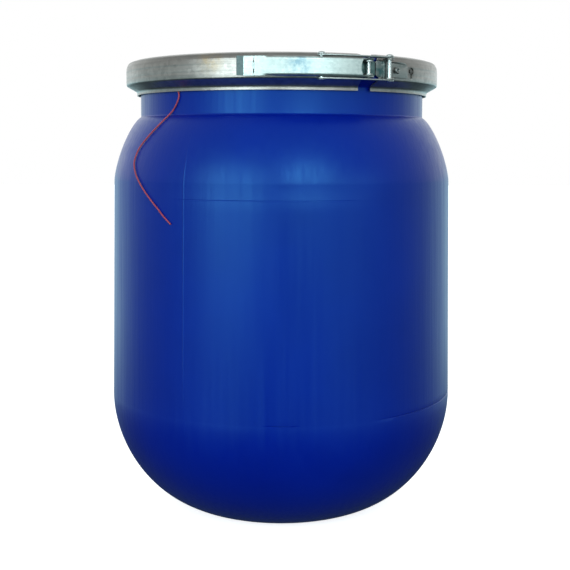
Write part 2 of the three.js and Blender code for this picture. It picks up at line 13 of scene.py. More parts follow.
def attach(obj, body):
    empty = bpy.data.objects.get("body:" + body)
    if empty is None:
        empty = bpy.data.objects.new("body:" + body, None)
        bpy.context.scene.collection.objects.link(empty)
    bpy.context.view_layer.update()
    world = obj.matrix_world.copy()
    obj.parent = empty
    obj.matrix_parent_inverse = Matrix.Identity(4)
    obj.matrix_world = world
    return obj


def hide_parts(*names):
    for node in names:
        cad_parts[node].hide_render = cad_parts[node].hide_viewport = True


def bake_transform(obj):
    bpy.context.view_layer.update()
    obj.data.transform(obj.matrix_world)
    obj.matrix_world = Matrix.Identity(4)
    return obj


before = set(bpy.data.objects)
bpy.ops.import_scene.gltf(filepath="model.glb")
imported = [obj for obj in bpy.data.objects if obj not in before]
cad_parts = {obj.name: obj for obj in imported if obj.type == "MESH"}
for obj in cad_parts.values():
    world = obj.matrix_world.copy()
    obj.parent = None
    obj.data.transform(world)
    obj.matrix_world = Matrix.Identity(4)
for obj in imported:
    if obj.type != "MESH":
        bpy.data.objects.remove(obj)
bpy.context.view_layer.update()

MM = 0.001

# ---- sizes, in millimetres, shared with the CAD model ----
BODY_RADIUS, BELLY_RADIUS, BODY_WALL = 164.1, 167.0, 2.6
FOOT_RADIUS, FOOT_WIDTH, FOOT_RECESS = 73.2, 14.0, 4.0
BOWL_TOP, BOWL_ROUNDNESS = 111.3, 1.87
SHOULDER_BOTTOM, SHOULDER_TOP, SHOULDER_ROUNDNESS = 320.9, 381.0, 1.4
NECK_RADIUS, NECK_LIP, NECK_TOP = 137.8, 1.0, 424.9
RIM_RADIUS, RIM_UNDERSIDE, RIM_EDGE, RIM_TOP = 149.2, 405.2, 411.6, 418.8
GAP = 0.3

PANEL_TOP, PANEL_RADIUS, LID_WALL, PLUG_BOTTOM = 415.9, 114.0, 3.0, 408.4
RIDGE_INNER, RIDGE_TOP, CHANNEL_ROOF = 122.0, 432.1, 429.3
BOSS_RADIUS, RING_RADIUS, RIB_HEIGHT, RIB_WIDTH, RIBS = 30.0, 72.0, 3.0, 4.0, 12
CHANNEL_INNER = NECK_RADIUS - BODY_WALL - 0.4
CHANNEL_OUTER = NECK_RADIUS + NECK_LIP + 1.6

BAND_RADIUS, BAND_THICKNESS, BAND_TOP, BAND_TOP_INNER = 151.6, 1.2, 433.9, 136.1
BAND_WALL_BOTTOM, LIP_RADIUS, LIP_TOP, LIP_BOTTOM = 410.9, 141.4, 405.2, 401.7
GAP_LEFT, GAP_RIGHT = 27.9, 33.2
SLOT_AZIMUTH, SLOT_Z, SLOT_HALF_WIDTH, SLOT_HALF_HEIGHT = 49.6, 420.5, 3.9, 3.1
SLOT_FOOT_HALF, SLOT_FOOT_DEPTH, SLOT_RIM = 1.1, 7.2, 1.6
SLOT_DEPTH, SLOT_CENTRE_DEPTH = 0.95, 1.6

CLOSURE_Z = 420.3
PIVOT_RADIUS = 156.4
LINK_LEVER_AZIMUTH, LEVER_PIVOT_AZIMUTH, LINK_CATCH_AZIMUTH = 12.3, 28.3, 36.6
PIN_RADIUS, DOME_RADIUS, DOME_HEIGHT, LOWER_HEAD_HEIGHT = 1.7, 3.7, 2.2, 0.8
FLUSH_HEAD, FLUSH_HEAD_RADIUS = 0.4, 3.4
CLOSURE_INNER, LEVER_OUTER, LEVER_SHEET, LEVER_HALF = 152.5, 161.2, 1.3, 8.1
LEVER_TIP, LEVER_LIP, LEVER_CREASE, LEVER_WEB_END = -13.0, -11.5, -8.4, 25.3
LINK_INNER_HALF, LINK_SHEET, LINK_WIDTH = 9.2, 1.2, 7.9
LINK_HALF = LINK_INNER_HALF + LINK_SHEET
BRACKET_INNER, BRACKET_SHEET, EAR_RADIUS = 152.0, 1.3, 4.0
BRACKET_OUTER = BRACKET_INNER + BRACKET_SHEET
LEVER_BRACKET_START, LEVER_BRACKET_END, LEVER_BRACKET_HALF = 15.5, 30.8, 6.3
CATCH_BRACKET_START, CATCH_BRACKET_END, CATCH_PLATE_HALF, CATCH_EAR_HALF = 32.5, 46.6, 6.8, 8.9
BRACKET_RIVETS = (17.6, 22.2, 41.2)
CATCH_RIVET_DROP = 0.6
LEVER_EAR, CATCH_EAR = (24.7, 29.0), (35.1, 38.1)
LEVER_BRACKET_MORE, CATCH_BRACKET_MORE = 0.8, 0.6  # further than the CAD's, to close the gap between them

SEAM_AZIMUTHS = (-31.0, 149.0)
MOULD_LINE_Z = 307.3
INSERT_LINE_Z = 114.4

CORD_DIAMETER, CORD_PITCH, CORD_STEP, CORD_SIDES = 1.5, 4.2, 0.35, 18
CORD_ROUTE = (
    (-92.1, -103.8, 404.3), (-91.9, -103.9, 402.0), (-91.3, -104.7, 397.0), (-93.9, -102.5, 390.3),
    (-98.5, -98.2, 383.7), (-105.7, -98.5, 376.4), (-113.2, -97.4, 369.0), (-121.0, -94.6, 360.9),
    (-127.9, -91.2, 352.6), (-131.7, -90.3, 345.2), (-133.4, -91.9, 337.8), (-131.7, -97.5, 329.7),
    (-128.1, -104.1, 322.6), (-122.7, -110.7, 314.6), (-115.5, -118.4, 306.0), (-108.4, -125.0, 298.3),
    (-102.5, -130.0, 291.6), (-96.2, -134.8, 285.6),
)


# ---- camera ----
CAMERA_PLACE = (0.0, -1.0352, 0.3520)
CAMERA_LENS, CAMERA_SHIFT_UP = 65.64, -0.08
CAMERA_DOWN, CAMERA_RIGHT, CAMERA_ROLL = 0.0878, 0.0035, 0.003


def make_camera():
    """Camera at the photograph's viewing angle: above the drum's middle, looking slightly down."""
    data = bpy.data.cameras.new("camera")
    data.sensor_width = 36.0
    data.lens = CAMERA_LENS
    data.shift_y = CAMERA_SHIFT_UP
    camera = bpy.data.objects.new("camera", data)
    bpy.context.scene.collection.objects.link(camera)
    turn = Matrix.Rotation(-CAMERA_RIGHT, 4, "Z") @ Matrix.Rotation(math.pi / 2 - CAMERA_DOWN, 4, "X")
    roll = Matrix.Rotation(CAMERA_ROLL, 4, "Z")
    camera.matrix_world = Matrix.Translation(CAMERA_PLACE) @ turn @ roll
    bpy.context.scene.camera = camera


# ---- node helpers ----
class Shader:
    """A small wrapper that builds one Principled material from named nodes."""

    def __init__(self, name):
        self.material = bpy.data.materials.new(name)
        self.material.use_nodes = True
        self.tree = self.material.node_tree
        self.principled = self.tree.nodes["Principled BSDF"]
        self.place = self.add("ShaderNodeTexCoord").outputs["Object"]

    def add(self, kind, **values):
        node = self.tree.nodes.new(kind)
        for key, value in values.items():
            if key in node.inputs:
                node.inputs[key].default_value = value
            else:
                setattr(node, key, value)
        return node

    def link(self, output, target):
        self.tree.links.new(output, target)

    def set(self, **values):
        for key, value in values.items():
            self.principled.inputs[key.replace("_", " ")].default_value = value

    def stretched(self, scale):
        """Object coordinates scaled on each axis, so that noise stretches along the smallest."""
        mapping = self.add("ShaderNodeMapping")
        mapping.inputs["Scale"].default_value = scale
        self.link(self.place, mapping.inputs["Vector"])
        return mapping.outputs["Vector"]

    def noise(self, scale, detail=4.0, roughness=0.55, vector=None, distortion=0.0):
        node = self.add("ShaderNodeTexNoise", Scale=scale, Detail=detail, Roughness=roughness)
        node.inputs["Distortion"].default_value = distortion
        self.link(vector or self.place, node.inputs["Vector"])
        return node.outputs["Fac"]

    def cells(self, scale, vector=None):
        node = self.add("ShaderNodeTexVoronoi", Scale=scale)
        self.link(vector or self.place, node.inputs["Vector"])
        return node.outputs["Color"]

    def ramp(self, source, stops):
        """A colour ramp; stops are (position, colour)."""
        node = self.add("ShaderNodeValToRGB")
        elements = node.color_ramp.elements
        while len(elements) < len(stops):
            elements.new(0.5)
        for element, (position, colour) in zip(elements, stops):
            element.position = position
            element.color = (*colour, 1.0)
        self.link(source, node.inputs["Fac"])
        return node.outputs["Color"]

    def span(self, source, low, high, new_low, new_high):
        node = self.add("ShaderNodeMapRange")
        for key, value in zip(("From Min", "From Max", "To Min", "To Max"), (low, high, new_low, new_high)):
            node.inputs[key].default_value = value
        self.link(source, node.inputs["Value"])
        return node.outputs["Result"]

    def near(self, point, reach):
        """1 at a point given in millimetres, falling to 0 at a distance."""
        node = self.add("ShaderNodeVectorMath", operation="DISTANCE")
        self.link(self.place, node.inputs[0])
        node.inputs[1].default_value = Vector(point) * MM
        return self.span(node.outputs["Value"], reach * MM, 0.3 * reach * MM, 0.0, 1.0)

    def height(self, low, high):
        """0 below one height and 0.75 above another, in millimetres."""
        split = self.add("ShaderNodeSeparateXYZ")
        self.link(self.place, split.inputs[0])
        return self.span(split.outputs["Z"], low * MM, high * MM, 0.0, 0.75)

    def mix(self, factor, first, second):
        node = self.add("ShaderNodeMix", data_type="RGBA")
        for socket, value in zip((node.inputs[0], node.inputs[6], node.inputs[7]), (factor, first, second)):
            if isinstance(value, bpy.types.NodeSocket):
                self.link(value, socket)
            elif isinstance(value, tuple):
                socket.default_value = (*value, 1.0)
            else:
                socket.default_value = value
        return node.outputs[2]

    def math(self, operation, first, second):
        node = self.add("ShaderNodeMath", operation=operation)
        for socket, value in zip(node.inputs, (first, second)):
            if isinstance(value, bpy.types.NodeSocket):
                self.link(value, socket)
            else:
                socket.default_value = value
        return node.outputs[0]

    def bump(self, height, distance, strength=1.0, over=None):
        node = self.add("ShaderNodeBump", Distance=distance, Strength=strength)
        self.link(height, node.inputs["Height"])
        if over:
            self.link(over, node.inputs["Normal"])
        return node.outputs["Normal"]

    def colour(self, output):
        self.link(output, self.principled.inputs["Base Color"])

    def roughness(self, output):
        self.link(output, self.principled.inputs["Roughness"])

    def normal(self, output):
        self.link(output, self.principled.inputs["Normal"])


# ---- materials ----
BLACK, WHITE = (0.0, 0.0, 0.0), (1.0, 1.0, 1.0)
# colour of painted shade in a recess
HOLLOW_SHADE_COLOUR = (0.05, 0.052, 0.05)


def moulded_plastic(name, deep, plain, streak_stretch):
    """Satin blow-moulded polyethylene: soft colour clouds, fine die streaks along Z, grain and scuffs."""
    shader = Shader(name)
    shader.set(IOR=1.5, Specular_IOR_Level=0.65, Specular_Tint=(0.14, 0.58, 1.0, 1.0))
    clouds = shader.noise(9.0, 3.0)
    base = shader.ramp(clouds, [(0.3, deep), (0.7, plain)])
    streaks = shader.noise(260.0, 3.0, 0.6, shader.stretched((1.0, 1.0, streak_stretch)))
    scratches = shader.noise(75.0, 6.0, 0.7, shader.stretched((1.0, 1.0, 0.5)), 1.2)
    scuffs = shader.ramp(scratches, [(0.66, BLACK), (0.78, WHITE)])
    lighter = tuple(min(1.0, channel * 1.2 + 0.004) for channel in plain)
    shader.colour(shader.mix(shader.math("MULTIPLY", scuffs, 0.16), base, lighter))
    soft = shader.span(streaks, 0.3, 0.7, 0.28, 0.40)
    shader.roughness(shader.math("ADD", soft, shader.math("MULTIPLY", scuffs, 0.08)))
    streak_bump = shader.bump(streaks, 0.00022, 0.5)
    grain = shader.noise(1500.0, 2.0)
    shader.normal(shader.bump(grain, 0.00006, 0.6, streak_bump))
    return shader.material


def sheet_steel(name, dark, light, rough, spangle_scale, stain, painted_light_patch=None, painted_top_shade=None, painted_hollow_shade=None):
    """Zinc-coated sheet steel: crystal spangle, rolled lines, small stains and dents.

    Marks of painted light: the spot is a (point, reach, colour) of painted reflection on the band and the
    lever and of painted shade on the catch's end, the top colour is painted shade towards the band's top, and
    the hollow is the (point, reach) of painted shade round a recess.
    """
    shader = Shader(name)
    shader.set(Metallic=1.0)
    spangle = shader.cells(spangle_scale)
    clouds = shader.noise(55.0, 5.0, 0.6)
    rolled = shader.noise(70.0, 4.0, 0.65, shader.stretched((0.22, 0.22, 4.0)))
    grain = shader.math("ADD", shader.math("MULTIPLY", spangle, 0.28), shader.math("MULTIPLY", clouds, 0.22))
    grain = shader.math("ADD", grain, shader.math("MULTIPLY", rolled, 0.5))
    zinc = shader.ramp(grain, [(0.33, dark), (0.67, light)])
    # painted shade: the zinc turns darker towards the band's top
    if painted_top_shade:
        zinc = shader.mix(shader.height(BAND_TOP - 13.0, BAND_TOP - 3.0), zinc, painted_top_shade)
    # painted light: a mottled spot of the given colour, a painted reflection on the band and the lever,
    # painted shade on the catch's end
    if painted_light_patch:
        point, reach, colour = painted_light_patch
        mottle = shader.ramp(shader.noise(170.0, 4.0, 0.6), [(0.35, (0.1, 0.1, 0.1)), (0.6, WHITE)])
        zinc = shader.mix(shader.math("MULTIPLY", shader.near(point, reach), mottle), zinc, colour)
    # painted shade: darker in and round the given recess
    if painted_hollow_shade:
        zinc = shader.mix(shader.math("MULTIPLY", shader.near(*painted_hollow_shade), 0.75), zinc, HOLLOW_SHADE_COLOUR)
    stains = shader.ramp(shader.noise(140.0, 6.0, 0.75, None, 0.6), [(0.6, BLACK), (0.75, WHITE)])
    shader.colour(shader.mix(shader.math("MULTIPLY", stains, 0.35), zinc, stain))
    lines = shader.noise(420.0, 3.0, 0.6, shader.stretched((0.16, 0.16, 3.0)))
    wear = shader.span(lines, 0.3, 0.7, rough - 0.05, rough + 0.05)
    shader.roughness(shader.math("ADD", wear, shader.math("MULTIPLY", stains, 0.1)))
    dents = shader.bump(shader.noise(90.0, 2.0), 0.0005, 0.3)
    shader.normal(shader.bump(lines, 0.00009, 0.4, dents))
    return shader.material


def speckled(name, noise, colours, roughness, bump=None, **settings):
    """A material whose colour, roughness and fine bump all follow one noise."""
    shader = Shader(name)
    shader.set(**settings)
    speckle = shader.noise(*noise)
    shader.colour(shader.ramp(speckle, [(0.3, colours[0]), (0.7, colours[1])]))
    shader.roughness(shader.span(speckle, 0.3, 0.7, *roughness))
    if bump:
        shader.normal(shader.bump(speckle, *bump))
    return shader.material


def turned_steel(name, dark, light):
    """Bright rivet steel with fine speckle."""
    return speckled(name, (900.0, 4.0, 0.65), (dark, light), (0.2, 0.34), (0.00005, 0.5), Metallic=1.0)


def sponge_rubber(name):
    """Matt black closed-cell foam."""
    colours = (0.012, 0.012, 0.013), (0.04, 0.04, 0.043)
    return speckled(name, (1400.0, 3.0, 0.7), colours, (0.75, 0.95), (0.0002, 0.8))


def twisted_fibre(name):
    """Red twisted thread, speckled in darker and lighter red."""
    colours = (0.14, 0.008, 0.03), (0.42, 0.03, 0.075)
    return speckled(
        name, (3200.0, 3.0, 0.7), colours, (0.5, 0.75), (0.0001, 0.6), Sheen_Weight=0.3, Sheen_Roughness=0.5)


def studio_floor(name):
    """Pale matt floor with hardly any texture."""
    colours = (0.86, 0.865, 0.87), (0.89, 0.893, 0.896)
    return speckled(
        name, (3.0, 2.0), colours, (0.8, 0.9), Specular_IOR_Level=0.1,
        Emission_Color=(*WHITE, 1.0), Emission_Strength=0.75)


# ---- mesh helpers ----
def polar(radius, azimuth, height=0.0):
    angle = math.radians(azimuth)
    return Vector((radius * math.sin(angle), -radius * math.cos(angle), height))


def smoothstep(low, high, value):
    t = min(1.0, max(0.0, (value - low) / (high - low)))
    return t * t * (3.0 - 2.0 * t)


def piece(name, vertices, faces, material, sharp=32.0):
    """A mesh object from millimetre vertices, shaded smooth but for its sharp edges."""
    mesh = bpy.data.meshes.new(name)
    mesh.from_pydata([tuple(Vector(v) * MM) for v in vertices], [], faces)
    mesh.materials.append(material)
    obj = bpy.data.objects.new(name, mesh)
    bpy.context.scene.collection.objects.link(obj)
    tidy_mesh(obj, sharp)
    return obj


def tidy_mesh(obj, sharp):
    """Merges doubled vertices, turns every face outwards and marks the sharp edges."""
    work = bmesh.new()
    work.from_mesh(obj.data)
    bmesh.ops.remove_doubles(work, verts=work.verts, dist=1e-7)
    bmesh.ops.recalc_face_normals(work, faces=work.faces)
    work.to_mesh(obj.data)
    work.free()
    obj.data.shade_smooth()
    obj.data.set_sharp_from_angle(angle=math.radians(sharp))


def apply_modifiers(obj, sharp=32.0):
    """Replaces an object's mesh by its mesh with the modifiers applied."""
    graph = bpy.context.evaluated_depsgraph_get()
    mesh = bpy.data.meshes.new_from_object(obj.evaluated_get(graph), depsgraph=graph)
    obj.modifiers.clear()
    obj.data = mesh
    tidy_mesh(obj, sharp)


def bevelled(obj, width, segments=2, angle=40.0):
    modifier = obj.modifiers.new("bevel", "BEVEL")
    modifier.width = width * MM
    modifier.segments = segments
    modifier.limit_method = "ANGLE"
    modifier.angle_limit = math.radians(angle)
    apply_modifiers(obj)


def carved(obj, other, how="DIFFERENCE"):
    """Applies a Boolean with another piece, after any modifier the object has, and removes that piece."""
    step = obj.modifiers.new("carve", "BOOLEAN")
    step.operation, step.solver, step.object = how, "EXACT", other
    apply_modifiers(obj)
    bpy.data.objects.remove(other)


def joined(objects, name):
    """Joins objects into the first one, each keeping its own closed surface and material."""
    whole = bmesh.new()
    first = objects[0]
    materials = first.data.materials
    for obj in objects:
        material = obj.data.materials[0]
        if material and materials.find(material.name) < 0:
            materials.append(material)
        index = materials.find(material.name) if material else 0
        obj.data.polygons.foreach_set("material_index", [index] * len(obj.data.polygons))
        whole.from_mesh(obj.data)
    whole.to_mesh(first.data)
    whole.free()
    for obj in objects[1:]:
        bpy.data.objects.remove(obj)
    first.name = name
    first.data.shade_smooth()
    first.data.set_sharp_from_angle(angle=math.radians(32.0))
    return first


def rounded(corners, steps=6):
    """An open outline with its corners rounded: corners are (across, up, fillet radius)."""
    points = []
    for index, (x, y, fillet) in enumerate(corners):
        here = Vector((x, y))
        if fillet <= 0.0 or index in (0, len(corners) - 1):
            points.append((x, y))
            continue
        back = Vector(corners[index - 1][:2]) - here
        ahead = Vector(corners[index + 1][:2]) - here
        half = back.angle(ahead) / 2
        cut = min(fillet / math.tan(half), 0.49 * back.length, 0.49 * ahead.length)
        radius = cut * math.tan(half)
        bisector = (back.normalized() + ahead.normalized()).normalized()
        centre = here + bisector * (radius / math.sin(half))
        start = here + back.normalized() * cut - centre
        finish = here + ahead.normalized() * cut - centre
        sweep = start.angle_signed(finish)
        for step in range(steps + 1):
            turned = start.copy()
            turned.rotate(Matrix.Rotation(-sweep * step / steps, 2))
            points.append(tuple(centre + turned))
    return points


def superellipse(outer, inner, low, high, roundness, steps):
    """The rounded corner from (outer, low) to (inner, high)."""
    points = []
    for step in range(steps + 1):
        angle = math.pi / 2 * step / steps
        across = abs(math.cos(angle)) ** (2 / roundness)
        up = math.sin(angle) ** (2 / roundness)
        points.append((inner + (outer - inner) * across, low + (high - low) * up))
    return points


def revolved(profile, azimuths, shift=None, closed=False):
    """Vertices and faces of a profile of (radius, height) swept round the axis.

    shift(radius, height, azimuth, index) returns a change of radius. Points on the axis become one vertex.
    """
    vertices, rows = [], []
    for index, (radius, height) in enumerate(profile):
        if radius < 1e-6:
            rows.append([len(vertices)] * len(azimuths))
            vertices.append((0.0, 0.0, height))
            continue
        row = []
        for azimuth in azimuths:
            change = shift(radius, height, azimuth, index) if shift else 0.0
            row.append(len(vertices))
            vertices.append(tuple(polar(radius + change, azimuth, height)))
        rows.append(row)
    if closed:
        rows.append(rows[0])
    faces = []
    count = len(azimuths)
    for low, high in zip(rows, rows[1:]):
        for i in range(count):
            j = (i + 1) % count
            ring = [low[i], low[j], high[j], high[i]]
            face = [v for k, v in enumerate(ring) if v != ring[k - 1]]
            if len(face) > 2:
                faces.append(face)
    return vertices, faces


def even_azimuths(count):
    return [360.0 * i / count for i in range(count)]


def prism_faces(count, first_end_step):
    """Faces of a prism; its two ends are outlines of count vertices, read forwards (1) or backwards (-1)."""
    ends = [list(range(count))[::first_end_step], list(range(count, 2 * count))[::-first_end_step]]
    return ends + [[i, (i + 1) % count, count + (i + 1) % count, count + i] for i in range(count)]


def grid_faces(columns, rows, closed=False):
    """Faces between columns of vertices; a closed grid joins its last column to its first."""
    faces = []
    for i in range(columns if closed else columns - 1):
        j = (i + 1) % columns
        faces += [[i * rows + k, i * rows + k + 1, j * rows + k + 1, j * rows + k] for k in range(rows - 1)]
    return faces


def flat_plate(outline, low, high, material, bevel=0.25):
    """A bevelled plate between two heights from an outline of (x, y) points."""
    vertices = [(x, y, low) for x, y in outline] + [(x, y, high) for x, y in outline]
    obj = piece("plate", vertices, prism_faces(len(outline), -1), material)
    bevelled(obj, bevel)
    return obj


def arc_points(radius, start, finish, steps):
    """Points on a circle round the drum's axis, seen from above."""
    return [tuple(polar(radius, start + (finish - start) * i / steps)[:2]) for i in range(steps + 1)]


def around(azimuth, radius, start, finish, steps):
    """Points on a circle round a pivot, at angles in degrees anticlockwise from its outward direction."""
    centre = polar(PIVOT_RADIUS, azimuth)
    points = []
    for i in range(steps + 1):
        angle = math.radians(azimuth - 90.0 + start + (finish - start) * i / steps)
        points.append((centre.x + radius * math.cos(angle), centre.y + radius * math.sin(angle)))
    return points


def wall_plate(inner, outer, start, finish, half, height, corners, material, steps=16, bevel=0.25):
    """A curved plate on the band's wall. corners are its corner cuts, anticlockwise from lower left."""
    wide = math.radians(finish - start) * outer
    lower_left, lower_right, upper_right, upper_left = corners
    ring = [
        (lower_left, -half), (wide - lower_right, -half), (wide, -half + lower_right),
        (wide, half - upper_right), (wide - upper_right, half), (upper_left, half),
        (0.0, half - upper_left), (0.0, -half + lower_left),
    ]
    dense = []
    for (x0, z0), (x1, z1) in zip(ring, ring[1:] + ring[:1]):
        pieces = max(1, int(abs(x1 - x0) / 1.0))
        dense += [(x0 + (x1 - x0) * k / pieces, z0 + (z1 - z0) * k / pieces) for k in range(pieces)]
    work = bmesh.new()
    layers = []
    for radius in (inner, outer):
        layer = []
        for x, z in dense:
            azimuth = start + math.degrees(x / outer)
            layer.append(work.verts.new(polar(radius, azimuth, height + z) * MM))
        layers.append(layer)
    count = len(dense)
    caps = [work.faces.new(layer) for layer in layers]
    for i in range(count):
        j = (i + 1) % count
        work.faces.new((layers[0][i], layers[0][j], layers[1][j], layers[1][i]))
    bmesh.ops.triangulate(work, faces=caps)
    mesh = bpy.data.meshes.new("wall_plate")
    work.to_mesh(mesh)
    work.free()
    mesh.materials.append(material)
    obj = bpy.data.objects.new("wall_plate", mesh)
    bpy.context.scene.collection.objects.link(obj)
    tidy_mesh(obj, 32.0)
    bevelled(obj, bevel, 2, 50.0)
    return obj


# ---- cord ----
def smooth_route(points, spacing):
    """Points at an even spacing along a Catmull-Rom curve through the route."""
    given = [Vector(p) for p in points]
    given = [given[0] * 2 - given[1], *given, given[-1] * 2 - given[-2]]
    fine = []
    for a, b, c, d in zip(given, given[1:], given[2:], given[3:]):
        for k in range(24):
            t = k / 24
            fine.append(0.5 * ((2 * b) + (c - a) * t + (2 * a - 5 * b + 4 * c - d) * t ** 2
                               + (3 * b - a - 3 * c + d) * t ** 3))
    fine.append(given[-2])
    lengths = [0.0]
    for a, b in zip(fine, fine[1:]):
        lengths.append(lengths[-1] + (b - a).length)
    count = int(lengths[-1] / spacing)
    even = []
    for target in np.linspace(0.0, lengths[-1], count + 1):
        index = min(int(np.searchsorted(lengths, target)), len(fine) - 1)
        index = max(index, 1)
        share = (target - lengths[index - 1]) / max(lengths[index] - lengths[index - 1], 1e-9)
        even.append(fine[index - 1].lerp(fine[index], share))
    return even, lengths[-1]


def make_cord(material):
    """Thin thread of three twisted strands, closed flat at both ends."""
    path, length = smooth_route(CORD_ROUTE, CORD_STEP)
    sides, radius = CORD_SIDES, CORD_DIAMETER / 2
    vertices, faces = [], []
    across = Vector((0.0, 0.0, 1.0))
    for index, point in enumerate(path):
        ahead = path[min(index + 1, len(path) - 1)] - path[max(index - 1, 0)]
        ahead.normalize()
        across = (across - ahead * across.dot(ahead)).normalized()
        other = ahead.cross(across)
        turn = 2 * math.pi * index * CORD_STEP / CORD_PITCH
        for k in range(sides):
            angle = 2 * math.pi * k / sides
            lobe = radius * (0.86 + 0.14 * math.cos(3 * (angle - turn)))
            vertices.append(tuple(point + (across * math.cos(angle) + other * math.sin(angle)) * lobe))
    for index in range(len(path) - 1):
        for k in range(sides):
            j = (k + 1) % sides
            low, high = index * sides, (index + 1) * sides
            faces.append([low + k, low + j, high + j, high + k])
    faces.append(list(range(sides))[::-1])
    faces.append([(len(path) - 1) * sides + k for k in range(sides)])
    cord = piece("red_cord", vertices, faces, material, 60.0)
    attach(cord, "drum")
    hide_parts("seal_cord")


# ---- drum body ----
def drum_azimuths():
    """Even steps round the drum with finer ones across the two parting lines."""
    azimuths = set(even_azimuths(300))
    for seam in SEAM_AZIMUTHS:
        for step in (-0.7, -0.45, -0.3, -0.2, -0.1, 0.0, 0.1, 0.2, 0.3, 0.45, 0.7):
            azimuths.add((seam + step) % 360.0)
    ordered = sorted(azimuths)
    return [a for a, b in zip(ordered, ordered[1:] + [ordered[0] + 360.0]) if b - a > 0.04]


def wall_radius(height):
    """The drum's tapering wall between bowl and shoulder."""
    share = (height - BOWL_TOP) / (SHOULDER_BOTTOM - BOWL_TOP)
    return BELLY_RADIUS + (BODY_RADIUS - BELLY_RADIUS) * share


def drum_profile():
    """The drum's outline from under its middle, up outside, over the neck and down inside. Returns it and
    how many of its points are outside."""
    foot_inner = FOOT_RADIUS - FOOT_WIDTH
    base = rounded([
        (0.0, FOOT_RECESS, 0.0), (foot_inner - 5.0, FOOT_RECESS, 3.0), (foot_inner - 1.0, 0.0, 1.6),
        (FOOT_RADIUS, 0.0, 0.0),
    ])
    base = [((foot_inner - 12.0) * k / 6, FOOT_RECESS) for k in range(6)] + base[1:]
    bowl = superellipse(BELLY_RADIUS, FOOT_RADIUS, BOWL_TOP, 0.0, BOWL_ROUNDNESS, 60)[::-1][1:]
    groove = [(wall_radius(INSERT_LINE_Z + z) - depth, INSERT_LINE_Z + z) for z, depth in (
        (0.0, 0.02), (0.25, 0.42), (0.7, 0.46), (1.1, 0.1), (1.7, 0.0))]
    wall = [(wall_radius(z), z) for z in np.linspace(INSERT_LINE_Z + 6.0, MOULD_LINE_Z - 1.5, 22)]
    bead = [(wall_radius(MOULD_LINE_Z + z) - 0.07 + rise, MOULD_LINE_Z + z) for z, rise in (
        (-0.7, 0.0), (-0.35, 0.04), (0.0, -0.09), (0.35, 0.04), (0.7, 0.0))]
    shoulder = superellipse(
        BODY_RADIUS, NECK_RADIUS, SHOULDER_BOTTOM, SHOULDER_TOP, SHOULDER_ROUNDNESS, 40)[:-1]
    neck = rounded([
        (NECK_RADIUS + 0.8, SHOULDER_TOP - 0.6, 0.0), (NECK_RADIUS, SHOULDER_TOP + 0.8, 1.2),
        (NECK_RADIUS, RIM_UNDERSIDE, 1.5), (RIM_RADIUS, RIM_EDGE, 1.0), (RIM_RADIUS, RIM_TOP, 1.0),
        (NECK_RADIUS + NECK_LIP, RIM_TOP, 0.8), (NECK_RADIUS + NECK_LIP, NECK_TOP, 1.2),
        (NECK_RADIUS - BODY_WALL, NECK_TOP, 1.2), (NECK_RADIUS - BODY_WALL, SHOULDER_TOP, 0.0),
    ])
    outside = base + bowl + groove + wall + bead + shoulder + neck
    inner_shoulder = superellipse(
        BODY_RADIUS - BODY_WALL, NECK_RADIUS - BODY_WALL, SHOULDER_BOTTOM - BODY_WALL / 2,
        SHOULDER_TOP - BODY_WALL / 2, SHOULDER_ROUNDNESS, 20)[::-1]
    inner_bowl = superellipse(
        BELLY_RADIUS - BODY_WALL, FOOT_RADIUS, BOWL_TOP, BODY_WALL + 1.0, BOWL_ROUNDNESS, 30)
    floor = FOOT_RECESS + BODY_WALL
    middle = [((foot_inner - 4.0) * k / 6, floor) for k in range(6, -1, -1)]
    return outside + inner_shoulder + inner_bowl + middle, len(outside)


def make_drum(material):
    """The blow-moulded body, with its parting lines and the faint unevenness of a blown wall."""
    profile, outside = drum_profile()

    def shift(radius, height, azimuth, index):
        if index >= outside or height > RIM_UNDERSIDE or height < 0.5:
            return 0.0
        angle = math.radians(azimuth)
        fade = smoothstep(0.0, 25.0, height)
        fade *= 1.0 - smoothstep(SHOULDER_TOP - 14.0, SHOULDER_TOP + 2.0, height)
        wave = (math.sin(3 * angle + height / 47.0) + math.sin(5 * angle - height / 31.0 + 1.3)
                + 0.6 * math.sin(11 * angle + height / 90.0 + 0.4))
        change = -0.05 * fade * (1.0 + wave / 2.6)
        over_line = min(1.0, max(0.0, (height - MOULD_LINE_Z) / 12.0))
        over_line *= 1.0 - smoothstep(319.0, 343.0, height)
        signed = (azimuth + 180.0) % 360.0 - 180.0
        shown = smoothstep(-42.0, -31.0, signed) * (1.0 - smoothstep(18.0, 34.0, signed))
        change -= 0.24 * over_line * (0.15 + 0.85 * shown)
        for seam in SEAM_AZIMUTHS:
            off = (azimuth - seam + 180.0) % 360.0 - 180.0
            across = math.radians(off) * radius
            drawn = smoothstep(115.0, 153.0, height) * (1.0 - smoothstep(331.0, 358.0, height))
            change += (0.05 + 0.17 * drawn) * math.exp(-(across / 0.42) ** 2)
        if abs(height - MOULD_LINE_Z) < 0.9:
            change += (wall_radius(height) - radius) * (1.0 - shown)
        if INSERT_LINE_Z - 0.1 < height < INSERT_LINE_Z + 1.5:
            change += (wall_radius(height) - radius) * (0.97 - 0.97 * smoothstep(28.0, 48.0, signed))
        widest = abs(math.cos(angle)) > 0.998 or abs(math.sin(angle)) > 0.998
        return min(change, 0.0) if widest else change

    vertices, faces = revolved(profile, drum_azimuths(), shift)
    drum = piece("drum_shell", vertices, faces, material)
    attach(drum, "drum")
    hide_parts("drum_body")


